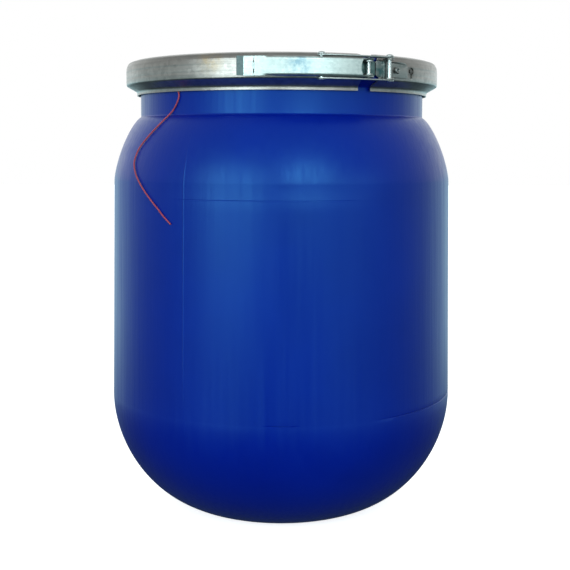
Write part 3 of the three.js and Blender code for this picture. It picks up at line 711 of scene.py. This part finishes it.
# ---- lid and gasket ----
def lid_profile():
    """The lid's outline: the panel with its boss and ring, the ridge, the rim, the channel and the plug."""
    panel_bottom = PANEL_TOP - LID_WALL
    plug_inner = CHANNEL_INNER - LID_WALL
    raised = PANEL_TOP + RIB_HEIGHT
    return rounded([
        (0.0, raised - 0.8, 0.0), (4.0, raised - 0.8, 0.5), (5.0, raised, 0.5),
        (BOSS_RADIUS, raised, 1.0), (BOSS_RADIUS + 1.0, PANEL_TOP, 1.5),
        (RING_RADIUS - 4.0, PANEL_TOP, 1.2), (RING_RADIUS - 3.0, raised, 0.9),
        (RING_RADIUS + 3.0, raised, 0.9), (RING_RADIUS + 4.0, PANEL_TOP, 1.2),
        (PANEL_RADIUS, PANEL_TOP, 3.0), (RIDGE_INNER - 0.4, RIDGE_TOP - 3.0, 2.5),
        (RIDGE_INNER + 4.0, RIDGE_TOP, 1.5),
        (BAND_TOP_INNER - 1.0, RIDGE_TOP, 2.0), (RIM_RADIUS - 4.0, RIDGE_TOP - 1.5, 2.0),
        (RIM_RADIUS - 1.0, RIDGE_TOP - 3.8, 1.5), (RIM_RADIUS, RIDGE_TOP - 7.0, 1.5),
        (RIM_RADIUS, RIM_TOP + GAP, 0.8), (CHANNEL_OUTER, RIM_TOP + GAP, 0.8),
        (CHANNEL_OUTER, CHANNEL_ROOF, 0.5), (CHANNEL_INNER, CHANNEL_ROOF, 0.5),
        (CHANNEL_INNER, PLUG_BOTTOM, 1.2), (plug_inner, PLUG_BOTTOM, 1.0),
        (plug_inner, RIDGE_TOP - LID_WALL, 1.0), (RIDGE_INNER + 3.4, RIDGE_TOP - LID_WALL, 2.0),
        (PANEL_RADIUS + 2.0, panel_bottom, 2.0), (0.0, panel_bottom, 0.0),
    ], 4)


def rib(azimuth, material):
    """A radial rib with rounded top edges; its foot is inside the panel."""
    half, foot, top = RIB_WIDTH / 2, PANEL_TOP - 0.6, PANEL_TOP + RIB_HEIGHT - 0.1
    section = rounded([
        (-half - 0.5, foot, 0.0), (-half - 0.3, PANEL_TOP + 0.1, 0.4), (-half + 0.1, top, 0.9),
        (half - 0.1, top, 0.9), (half + 0.3, PANEL_TOP + 0.1, 0.4), (half + 0.5, foot, 0.0),
    ], 4)
    inner, outer = BOSS_RADIUS - 1.0, PANEL_RADIUS + 2.4
    turn = Matrix.Rotation(math.radians(azimuth), 3, "Z")
    vertices = [turn @ Vector((across, -along, up)) for along in (inner, outer) for across, up in section]
    count = len(section)
    faces = [[i, i + 1, count + i + 1, count + i] for i in range(count - 1)]
    faces += [[count - 1, 0, count, 2 * count - 1], list(range(count)), list(range(count, 2 * count))[::-1]]
    return piece("rib", vertices, faces, material)


def make_lid(material):
    vertices, faces = revolved(lid_profile(), even_azimuths(240))
    disc = piece("lid_disc", vertices, faces, material)
    ribs = [rib(90.0 + 15.0 + 30.0 * i, material) for i in range(RIBS)]
    lid = joined([disc, *ribs], "lid_cover")
    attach(lid, "lid")
    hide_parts("lid")


def make_gasket(material):
    low, high = NECK_TOP + GAP, CHANNEL_ROOF - GAP
    inner, outer = CHANNEL_INNER + GAP, CHANNEL_OUTER - GAP
    middle = (inner + outer) / 2
    loop = rounded([
        (middle, low, 0.0), (outer, low, 0.9), (outer, high, 0.9), (inner, high, 0.9), (inner, low, 0.9),
        (middle, low, 0.0),
    ], 4)[:-1]
    vertices, faces = revolved(loop, even_azimuths(160), closed=True)
    gasket = piece("lid_seal_ring", vertices, faces, material)
    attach(gasket, "lid")
    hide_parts("lid_gasket")


# ---- clamp band ----
def rolled_line(height):
    """Corners of a shallow groove that the rolls left round the band's wall."""
    half, depth = 1.6, 0.06
    low, high = (BAND_RADIUS, height - half, 1.5), (BAND_RADIUS, height + half, 1.5)
    return [low, (BAND_RADIUS - depth, height, 3.0), high]


def band_section():
    """The band's closed section: outer face from the lip up to the top flange, then back inside."""
    sheet = BAND_THICKNESS
    outer = rounded([
        (LIP_RADIUS, LIP_BOTTOM, 0.0), (LIP_RADIUS, LIP_TOP, 2.8), (BAND_RADIUS - 0.1, BAND_WALL_BOTTOM, 1.8),
        *rolled_line(BAND_WALL_BOTTOM + 5.6), *rolled_line(BAND_WALL_BOTTOM + 11.4),
        (BAND_RADIUS - 0.45, BAND_TOP - 5.9, 3.0),
        (BAND_RADIUS - 2.2, BAND_TOP - 2.1, 3.0), (BAND_RADIUS - 6.5, BAND_TOP - 0.7, 3.0),
        (BAND_TOP_INNER, BAND_TOP, 0.0),
    ], 5)
    inner = []
    for index, (x, z) in enumerate(outer):
        before, after = outer[max(index - 1, 0)], outer[min(index + 1, len(outer) - 1)]
        along = Vector((after[0] - before[0], after[1] - before[1])).normalized()
        inner.append((x - along.y * sheet, z + along.x * sheet))
    return outer, inner


def band_end(height, radius, side):
    """Where the band ends at a point of its section: the corners of its wall and flange are rounded off."""
    plain = GAP_RIGHT if side > 0 else GAP_LEFT
    top = smoothstep(BAND_TOP - 6.2, BAND_TOP - 0.2, height) * 1.1
    if height > CLOSURE_Z:
        top += smoothstep(BAND_RADIUS - 3.0, BAND_RADIUS - 12.0, radius) * 0.9
    fold = math.exp(-((height - BAND_WALL_BOTTOM + 1.2) / 2.6) ** 2) * 0.95
    return plain + side * (top + fold)


def keyhole_cutter():
    """The space round the keyhole's pressed centre: an oval groove, and the narrow foot below it."""
    outward, across = polar(1.0, SLOT_AZIMUTH), polar(1.0, SLOT_AZIMUTH + 90.0)

    def prism(outline, depth):
        vertices = []
        for radius in (BAND_RADIUS - depth, BAND_RADIUS + 4.0):
            vertices += [outward * radius + across * x + Vector((0, 0, SLOT_Z + z)) for x, z in outline]
        return piece("keyhole_part", vertices, prism_faces(len(outline), 1), None)

    turns = np.radians(np.linspace(0.0, 350.0, 36))
    oval = [(SLOT_HALF_WIDTH * math.cos(a), SLOT_HALF_HEIGHT * math.sin(a)) for a in turns]
    inner_width, inner_height = 1.0 - SLOT_RIM / SLOT_HALF_WIDTH, 1.0 - SLOT_RIM / SLOT_HALF_HEIGHT
    centre = [(x * inner_width, z * inner_height) for x, z in oval]
    foot = [(-SLOT_FOOT_HALF, -SLOT_FOOT_DEPTH), (SLOT_FOOT_HALF, -SLOT_FOOT_DEPTH),
            (SLOT_FOOT_HALF, -SLOT_HALF_HEIGHT + 0.6), (-SLOT_FOOT_HALF, -SLOT_HALF_HEIGHT + 0.6)]
    groove = prism(oval, SLOT_DEPTH)
    middle, below = prism(centre, SLOT_CENTRE_DEPTH), prism(foot, SLOT_DEPTH)
    carved(groove, middle)
    carved(groove, below, "UNION")
    return groove


def make_band(material):
    """One sprung ring, open at the front, with a folded lip, a cone and a rounded top flange."""
    outer, inner = band_section()
    section = outer + inner[::-1]
    steps = 420
    vertices = []
    for index, (radius, height) in enumerate(section):
        partner = section[len(section) - 1 - index] if index >= len(outer) else (radius, height)
        start = band_end(partner[1], partner[0], 1)
        finish = band_end(partner[1], partner[0], -1) + 360.0
        for step in range(steps + 1):
            share = step / steps
            azimuth = start + (finish - start) * share
            ripple = 0.06 * math.sin(math.radians(azimuth) * 17.0)
            ripple *= smoothstep(LIP_TOP + 2.0, LIP_TOP + 6.0, height)
            vertices.append(tuple(polar(radius - 0.06 + ripple, azimuth, height)))
    count, row, half = len(section), steps + 1, len(outer)
    faces = grid_faces(count, row, closed=True)
    for step in (0, steps):
        for i in range(half - 1):
            a, b = i, i + 1
            faces.append([v * row + step for v in (a, b, count - 1 - b, count - 1 - a)])
    band = piece("clamp_band", vertices, faces, material)
    carved(band, keyhole_cutter())
    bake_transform(band)
    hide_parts("clamp_band_left", "clamp_band_right")


# ---- lever ----
LEVER_BEND = 2.0
TAIL_RADIUS = 4.6  # a little less than the CAD's, so that the open lever clears the band
LIP_RISE, CREASE_DEPTH, CREASE_WIDTH = 4.3, 0.34, 0.17
FLANGE_SHEET = LEVER_BEND * math.pi / 2 + (LEVER_OUTER - CLOSURE_INNER - LEVER_BEND)


def lever_section(column, azimuth):
    """(depth, height) of the lever's outer face at a column from -1 to 1 and an azimuth.

    Up to 0.5 from the middle it is the web, beyond that the flange, which curls over and grows from the
    crease onwards.
    """
    side = 1.0 if column >= 0 else -1.0
    flat = LEVER_HALF - LEVER_BEND
    along = abs(column) * 2.0
    if along <= 1.0:
        return 0.0, side * flat * along
    curl = smoothstep(LEVER_CREASE + 2.4, LEVER_CREASE + 6.9, azimuth) * math.pi / 2
    grown = smoothstep(LEVER_CREASE + 4.9, LEVER_CREASE + 11.4, azimuth)
    sheet = LEVER_BEND + (FLANGE_SHEET - LEVER_BEND) * grown
    reach = (along - 1.0) * sheet
    arc = min(reach / LEVER_BEND, curl)
    rest = max(0.0, reach - LEVER_BEND * curl)
    depth = LEVER_BEND * (1.0 - math.cos(arc)) + rest * math.sin(curl)
    up = flat + LEVER_BEND * math.sin(arc) + rest * math.cos(curl)
    return depth, side * up


def lever_end(column):
    """The azimuth where a column of the lever ends: a hollow web end and rounded flange tails."""
    along = abs(column) * 2.0
    if along <= 1.0:
        return LEVER_WEB_END - 0.55 * (1.0 - along ** 2)
    depth, _ = lever_section(column, LEVER_WEB_END)
    if depth < 1.0:
        return LEVER_WEB_END + 3.4 * smoothstep(0.0, 1.0, depth)
    pivot_depth = LEVER_OUTER - PIVOT_RADIUS
    tail = math.sqrt(max(0.0, TAIL_RADIUS ** 2 - (depth - pivot_depth) ** 2))
    return LEVER_PIVOT_AZIMUTH + math.degrees(tail / PIVOT_RADIUS)


def lever_lift(azimuth):
    """How far the lever's face stands off its plain curve, at the finger lip and the pressed crease."""
    lip = LIP_RISE * max(0.0, (LEVER_LIP - azimuth) / (LEVER_LIP - LEVER_TIP))
    crease = -CREASE_DEPTH * math.exp(-((azimuth - LEVER_CREASE) / CREASE_WIDTH) ** 2)
    return lip + crease


def lever_slots():
    """Cutters of the two short slots pierced in the crease."""
    boxes = []
    for side in (-1.0, 1.0):
        corners = []
        for radius in (LEVER_OUTER - 4.0, LEVER_OUTER + 2.0):
            for azimuth in (LEVER_CREASE - CREASE_WIDTH, LEVER_CREASE + CREASE_WIDTH):
                for z in (2.6, 6.0):
                    corners.append(polar(radius, azimuth, CLOSURE_Z + side * z))
        faces = [[0, 1, 3, 2], [4, 6, 7, 5], [0, 4, 5, 1], [2, 3, 7, 6], [0, 2, 6, 4], [1, 5, 7, 3]]
        boxes.append(piece("slot_cutter", corners, faces, None))
    return joined(boxes, "lever_slot_cutter")


def make_lever(material, painted_reflection_material):
    """Pressed channel: flat tongue with a turned-out lip, a crease with two slots, then flanges that grow."""
    columns = [-1.0 + 2.0 * i / 56 for i in range(57)]
    rows = list(np.linspace(LEVER_TIP, LEVER_CREASE - 0.6, 22))
    rows += list(np.linspace(LEVER_CREASE - 0.5, LEVER_CREASE + 0.5, 13))
    rows += list(np.linspace(LEVER_CREASE + 0.7, LEVER_WEB_END - 2.0, 96))
    common = rows[-1]
    last = [i / 10 for i in range(1, 11)]
    vertices = []
    for column in columns:
        end = lever_end(column)
        azimuths = rows + [common + (end - common) * share for share in last]
        for azimuth in azimuths:
            depth, up = lever_section(column, azimuth)
            vertices.append(tuple(polar(LEVER_OUTER - depth + lever_lift(azimuth), azimuth, CLOSURE_Z + up)))
    faces = grid_faces(len(columns), len(rows) + len(last))
    lever = piece("closure_lever", vertices, faces, material)
    solidify = lever.modifiers.new("sheet", "SOLIDIFY")
    solidify.thickness = LEVER_SHEET * MM
    outward = lever.data.polygons[len(faces) // 2].normal.dot(polar(1.0, 5.0)) > 0
    solidify.offset = -1.0 if outward else 1.0
    solidify.use_even_offset = True
    carved(lever, lever_slots())
    # painted reflection: the turned-out lip's faces take a darker copy of the zinc, for the dark surroundings
    # it reflects
    lever.data.materials.append(painted_reflection_material)
    for face in lever.data.polygons:
        if math.degrees(math.atan2(face.center.x, -face.center.y)) < LEVER_LIP:
            face.material_index = 1
    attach(lever, "lever")
    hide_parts("lever")


# ---- link, brackets and rivets ----
def make_link_strap(name, node, side, material):
    """One of the link's two curved side plates, with a round end on each rivet."""
    half = LINK_WIDTH / 2
    outline = arc_points(PIVOT_RADIUS + half, LINK_LEVER_AZIMUTH, LINK_CATCH_AZIMUTH, 30)
    outline += around(LINK_CATCH_AZIMUTH, half, 0.0, 180.0, 14)[1:-1]
    outline += arc_points(PIVOT_RADIUS - half, LINK_CATCH_AZIMUTH, LINK_LEVER_AZIMUTH, 30)
    outline += around(LINK_LEVER_AZIMUTH, half, 180.0, 360.0, 14)[1:-1]
    near, far = CLOSURE_Z + side * LINK_INNER_HALF, CLOSURE_Z + side * LINK_HALF
    strap = flat_plate(outline, min(near, far), max(near, far), material)
    strap.name = name
    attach(strap, "link")
    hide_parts(node)


def ear_plate(azimuth, start, finish, low, material):
    """One ear of a bracket: out from the band's wall and round the pivot."""
    foot = BRACKET_INNER + BRACKET_SHEET * 0.4
    outline = [tuple(polar(foot, start)[:2])]
    outline += arc_points(foot, start, finish, 6)[1:]
    outline += around(azimuth, EAR_RADIUS, 78.0, -78.0, 16)
    return flat_plate(outline, low, low + BRACKET_SHEET, material)


def make_lever_bracket(material, ear_material):
    """The plate inside the lever, with the two ears of its pivot."""
    half = LEVER_BRACKET_HALF
    base = wall_plate(
        BRACKET_INNER, BRACKET_OUTER, LEVER_BRACKET_START, LEVER_BRACKET_END + LEVER_BRACKET_MORE,
        half, CLOSURE_Z, (1.5, 0.6, 0.6, 1.5), material)
    ears = [
        ear_plate(LEVER_PIVOT_AZIMUTH, *LEVER_EAR, CLOSURE_Z + low, ear_material)
        for low in (half - BRACKET_SHEET, -half)
    ]
    bracket = joined([base, *ears], "lever_bracket_plate")
    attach(bracket, "band_left")
    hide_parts("lever_bracket")


def make_catch_bracket(material):
    """The plate on the band's right-hand end, with the two ears that hold the link's rivet."""
    tall = CATCH_EAR_HALF
    base = wall_plate(
        BRACKET_INNER, BRACKET_OUTER, CATCH_BRACKET_START - CATCH_BRACKET_MORE, CATCH_BRACKET_END,
        CATCH_PLATE_HALF, CLOSURE_Z, (1.6, 1.0, 3.4, 1.6), material)
    waist = wall_plate(
        BRACKET_INNER, BRACKET_OUTER - 0.06, *CATCH_EAR, tall, CLOSURE_Z, (0.3, 0.3, 0.3, 0.3), material)
    ears = [
        ear_plate(LINK_CATCH_AZIMUTH, *CATCH_EAR, CLOSURE_Z + low, material)
        for low in (tall - BRACKET_SHEET, -tall)
    ]
    bracket = joined([base, waist, *ears], "catch_bracket_plate")
    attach(bracket, "band_right")
    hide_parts("catch_bracket")


def turned_upright(name, profile, azimuth, material):
    """A turned piece standing on a pivot's axis; heights are from the closure's middle plane."""
    vertices, faces = revolved(profile, even_azimuths(40))
    centre = polar(PIVOT_RADIUS, azimuth, CLOSURE_Z)
    return piece(name, [Vector(v) + centre for v in vertices], faces, material)


def rivet_end(shank, head, grip, height):
    """Half the outline of an upright rivet, from its shank to the middle of its head."""
    return rounded([
        (shank, 0.0, 0.0), (shank, grip, 0.1), (head - 0.03, grip, 0.12),
        (head, grip + 0.25 * height, 0.35 * height),
        (0.7 * head, grip + 0.8 * height, 0.7 * height), (0.0, grip + height, 0.0),
    ], 6)[1:]


def both_ends(lower, upper):
    return [(r, -z) for r, z in reversed(lower)] + upper


def make_domed_rivet(name, node, body, azimuth, material):
    grip = LINK_HALF + GAP
    upper = rivet_end(PIN_RADIUS, DOME_RADIUS, grip, DOME_HEIGHT)
    lower = rivet_end(PIN_RADIUS, DOME_RADIUS, grip, LOWER_HEAD_HEIGHT)
    rivet = turned_upright(name, both_ends(lower, upper), azimuth, material)
    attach(rivet, body)
    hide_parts(node)


def make_pivot_rivet(material):
    end = rivet_end(PIN_RADIUS, FLUSH_HEAD_RADIUS, LEVER_HALF + GAP, FLUSH_HEAD)
    rivet = turned_upright("lever_pivot_pin", both_ends(end, end), LEVER_PIVOT_AZIMUTH, material)
    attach(rivet, "band_left")
    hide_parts("lever_pivot_rivet")


def make_bracket_rivet(name, node, body, azimuth, height, material):
    """Tubular rivet with a dished head, pointing outwards through bracket and band."""
    seat = BRACKET_OUTER + GAP - (BAND_RADIUS - BAND_THICKNESS)
    profile = rounded([
        (0.0, 0.0, 0.0), (1.6, 0.0, 0.2), (1.6, seat, 0.1), (2.9, seat, 0.2), (2.85, seat + 0.75, 0.4),
        (2.1, seat + 1.1, 0.4), (1.35, seat + 0.95, 0.3), (1.1, seat + 0.1, 0.2), (0.0, seat, 0.0),
    ], 4)
    vertices, faces = revolved(profile, even_azimuths(32))
    turn = Matrix.Rotation(math.radians(azimuth), 3, "Z") @ Matrix.Rotation(math.pi / 2, 3, "X")
    foot = polar(BAND_RADIUS - BAND_THICKNESS, azimuth, height)
    rivet = piece(name, [turn @ Vector(v) + foot for v in vertices], faces, material)
    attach(rivet, body)
    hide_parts(node)


# ---- studio ----
FLOOR_RADIUS = 9000.0


def make_floor():
    vertices, faces = revolved([(0.0, 0.0), (FLOOR_RADIUS, 0.0)], even_azimuths(64))
    floor = piece("floor", vertices, faces, studio_floor("pale_floor"))
    floor.visible_diffuse = False
    floor.visible_glossy = False


def softbox(name, azimuth, elevation, distance, wide, tall, power, colour=WHITE):
    """A rectangular soft light that faces the middle of the drum."""
    data = bpy.data.lights.new(name, "AREA")
    data.shape = "RECTANGLE"
    data.size, data.size_y = wide, tall
    data.energy = power
    data.color = colour
    light = bpy.data.objects.new(name, data)
    rise = math.radians(elevation)
    out = polar(math.cos(rise), azimuth, math.sin(rise))
    target = Vector((0.0, 0.0, 0.25))
    light.location = target + out * distance
    light.rotation_euler = out.to_track_quat("Z", "Y").to_euler()
    bpy.context.scene.collection.objects.link(light)
    return light


def make_world():
    """Light that the drum reflects, from a pale room, its back and its sides; plain white to the camera."""
    world = bpy.data.worlds.new("studio")
    bpy.context.scene.world = world
    world.use_nodes = True
    tree = world.node_tree
    nodes, links = tree.nodes, tree.links

    def fade(source, low, high, new_low, new_high):
        node = nodes.new("ShaderNodeMapRange")
        node.interpolation_type = "SMOOTHSTEP"
        for key, value in zip(("From Min", "From Max", "To Min", "To Max"), (low, high, new_low, new_high)):
            node.inputs[key].default_value = value
        links.new(source, node.inputs["Value"])
        return node.outputs["Result"]

    def combine(operation, first, second):
        node = nodes.new("ShaderNodeMath")
        node.operation = operation
        links.new(first, node.inputs[0])
        links.new(second, node.inputs[1])
        return node.outputs[0]

    split = nodes.new("ShaderNodeSeparateXYZ")
    links.new(nodes.new("ShaderNodeTexCoord").outputs["Generated"], split.inputs[0])
    sideways = nodes.new("ShaderNodeMath")
    sideways.operation = "ABSOLUTE"
    links.new(split.outputs["X"], sideways.inputs[0])
    room = fade(split.outputs["Z"], -0.45, 0.05, 0.08, 0.6)
    glow = fade(split.outputs["Y"], -0.55, -0.3, 0.75, 0.0)
    for edge in (("Z", 0.02, 0.1, 0.0, 1.0), ("Z", 0.2, 0.4, 1.0, 0.0), ("X", 0.3, 0.7, 1.0, 1.8)):
        glow = combine("MULTIPLY", glow, fade(split.outputs[edge[0]], *edge[1:]))
    above_floor = fade(split.outputs["Z"], -0.275, -0.16, 0.0, 1.0)
    backdrop = combine("MULTIPLY", fade(split.outputs["Y"], 0.2, 0.95, 0.0, 0.8), above_floor)
    lean = nodes.new("ShaderNodeMath")
    lean.operation = "MULTIPLY_ADD"
    lean.inputs[1].default_value = 0.12
    links.new(split.outputs["X"], lean.inputs[0])
    links.new(split.outputs["Y"], lean.inputs[2])
    bright_sides = fade(lean.outputs[0], -0.27, 0.38, 0.0, 0.52)
    bright_sides = combine("MULTIPLY", bright_sides, fade(sideways.outputs[0], 0.15, 0.5, 0.0, 1.0))
    bright_sides = combine("MULTIPLY", bright_sides, above_floor)
    level = combine("ADD", combine("MAXIMUM", combine("ADD", room, glow), bright_sides), backdrop)
    background = nodes["Background"]
    links.new(level, background.inputs["Strength"])
    tint = nodes.new("ShaderNodeMix")
    tint.data_type = "RGBA"
    links.new(fade(split.outputs["Z"], 0.0, 0.06, 0.0, 1.0), tint.inputs[0])
    tint.inputs[6].default_value = (0.62, 0.93, 1.0, 1.0)
    tint.inputs[7].default_value = (0.92, 0.97, 0.97, 1.0)
    links.new(tint.outputs[2], background.inputs["Color"])
    plain = nodes.new("ShaderNodeBackground")
    plain.inputs["Color"].default_value = (*WHITE, 1.0)
    mixer = nodes.new("ShaderNodeMixShader")
    rays = nodes.new("ShaderNodeLightPath")
    links.new(rays.outputs["Is Camera Ray"], mixer.inputs[0])
    links.new(background.outputs[0], mixer.inputs[1])
    links.new(plain.outputs[0], mixer.inputs[2])
    links.new(mixer.outputs[0], nodes["World Output"].inputs[0])


def make_lights():
    cool = (0.82, 0.98, 1.0)
    softbox("window_left", -31.0, 12.5, 2.4, 1.55, 1.25, 22.0, cool)
    softbox("window_right", 16.0, 19.0, 2.4, 1.0, 0.9, 17.0, cool)
    for name, azimuth, power in (("fill_left", -40.0, 19.0), ("fill_right", 40.0, 13.5)):
        fill = softbox(name, azimuth, -9.0, 2.5, 1.6, 1.6, power)
        fill.visible_glossy = False


def make_closure():
    """Band, brackets, lever, link and rivets, each in its own shade of zinc-coated steel, some carrying
    painted reflections and painted shade.
    """
    # painted reflection: a warm brownish mottled spot high on the band's left
    painted_warm_reflection = (polar(BAND_RADIUS, -24.0, BAND_TOP - 7.0), 15.0, (0.35, 0.29, 0.21))
    # painted shade: darkens the zinc in and round the keyhole's recess
    keyhole = (polar(BAND_RADIUS - 0.6, SLOT_AZIMUTH, SLOT_Z - 1.0), 6.5)
    # painted shade: a dark teal spot on the catch plate's end next to the lever bracket
    painted_end_shade = (polar(BRACKET_OUTER, 34.0, CLOSURE_Z), 13.0, (0.08, 0.17, 0.17))
    # painted reflection: a duller, bluer mottled spot on the lever, standing in for a dark reflection
    painted_dark_reflection = (polar(LEVER_OUTER, 5.2, CLOSURE_Z), 14.0, (0.20, 0.31, 0.36))
    band_zinc = sheet_steel(
        "band_zinc", (0.30, 0.29, 0.275), (0.45, 0.43, 0.405), 0.36, 260.0, (0.20, 0.19, 0.175),
        painted_warm_reflection, (0.21, 0.205, 0.195), keyhole)
    catch_zinc = sheet_steel(
        "catch_zinc", (0.31, 0.31, 0.29), (0.46, 0.45, 0.43), 0.40, 300.0, (0.14, 0.14, 0.13), painted_end_shade)
    # painted shade: a dark teal copy of the zinc for the bracket plate behind the lever
    painted_shade_bracket_zinc = sheet_steel(
        "painted_shade_bracket_zinc", (0.08, 0.14, 0.14), (0.16, 0.25, 0.24), 0.42, 300.0, (0.07, 0.09, 0.09))
    lever_zinc = sheet_steel(
        "lever_zinc", (0.41, 0.50, 0.49), (0.55, 0.64, 0.62), 0.42, 520.0, (0.36, 0.43, 0.42), painted_dark_reflection)
    # painted reflection: a darker copy of the lever's zinc for its turned-out lip
    painted_reflection_tip_zinc = sheet_steel(
        "painted_reflection_tip_zinc", (0.18, 0.26, 0.265), (0.27, 0.37, 0.375), 0.42, 520.0, (0.13, 0.17, 0.17))
    strap_zinc = sheet_steel(
        "strap_zinc", (0.30, 0.34, 0.33), (0.44, 0.48, 0.47), 0.36, 420.0, (0.20, 0.22, 0.21))
    rivet_zinc = turned_steel("rivet_zinc", (0.38, 0.42, 0.42), (0.66, 0.70, 0.69))
    # painted shade: a darker copy of the rivet steel for the bracket rivets
    painted_shade_rivet = turned_steel("painted_shade_rivet", (0.17, 0.185, 0.18), (0.34, 0.36, 0.35))
    make_band(band_zinc)
    make_lever_bracket(painted_shade_bracket_zinc, strap_zinc)
    make_catch_bracket(catch_zinc)
    make_lever(lever_zinc, painted_reflection_tip_zinc)
    make_link_strap("link_strap_top", "link_upper_strap", 1, strap_zinc)
    make_link_strap("link_strap_bottom", "link_lower_strap", -1, strap_zinc)
    make_pivot_rivet(rivet_zinc)
    make_domed_rivet("link_lever_pin", "link_lever_rivet", "lever", LINK_LEVER_AZIMUTH, rivet_zinc)
    make_domed_rivet("link_catch_pin", "link_catch_rivet", "band_right", LINK_CATCH_AZIMUTH, rivet_zinc)
    first, second, third = BRACKET_RIVETS
    for name, node, body, azimuth, height in (
        ("bracket_rivet_a", "lever_bracket_rivet_1", "band_left", first, CLOSURE_Z),
        ("bracket_rivet_b", "lever_bracket_rivet_2", "band_left", second, CLOSURE_Z),
        ("bracket_rivet_c", "catch_bracket_rivet", "band_right", third, CLOSURE_Z - CATCH_RIVET_DROP),
    ):
        make_bracket_rivet(name, node, body, azimuth, height, painted_shade_rivet)


def main():
    bpy.context.scene.view_settings.view_transform = "Standard"
    make_camera()
    make_cord(twisted_fibre("red_thread"))
    make_drum(moulded_plastic("drum_blue", (0.0, 0.005, 0.18), (0.0, 0.0072, 0.215), 0.02))
    make_lid(moulded_plastic("lid_blue", (0.0, 0.004, 0.12), (0.0, 0.006, 0.15), 1.0))
    make_gasket(sponge_rubber("black_foam"))
    make_closure()
    make_floor()
    make_world()
    make_lights()


main()
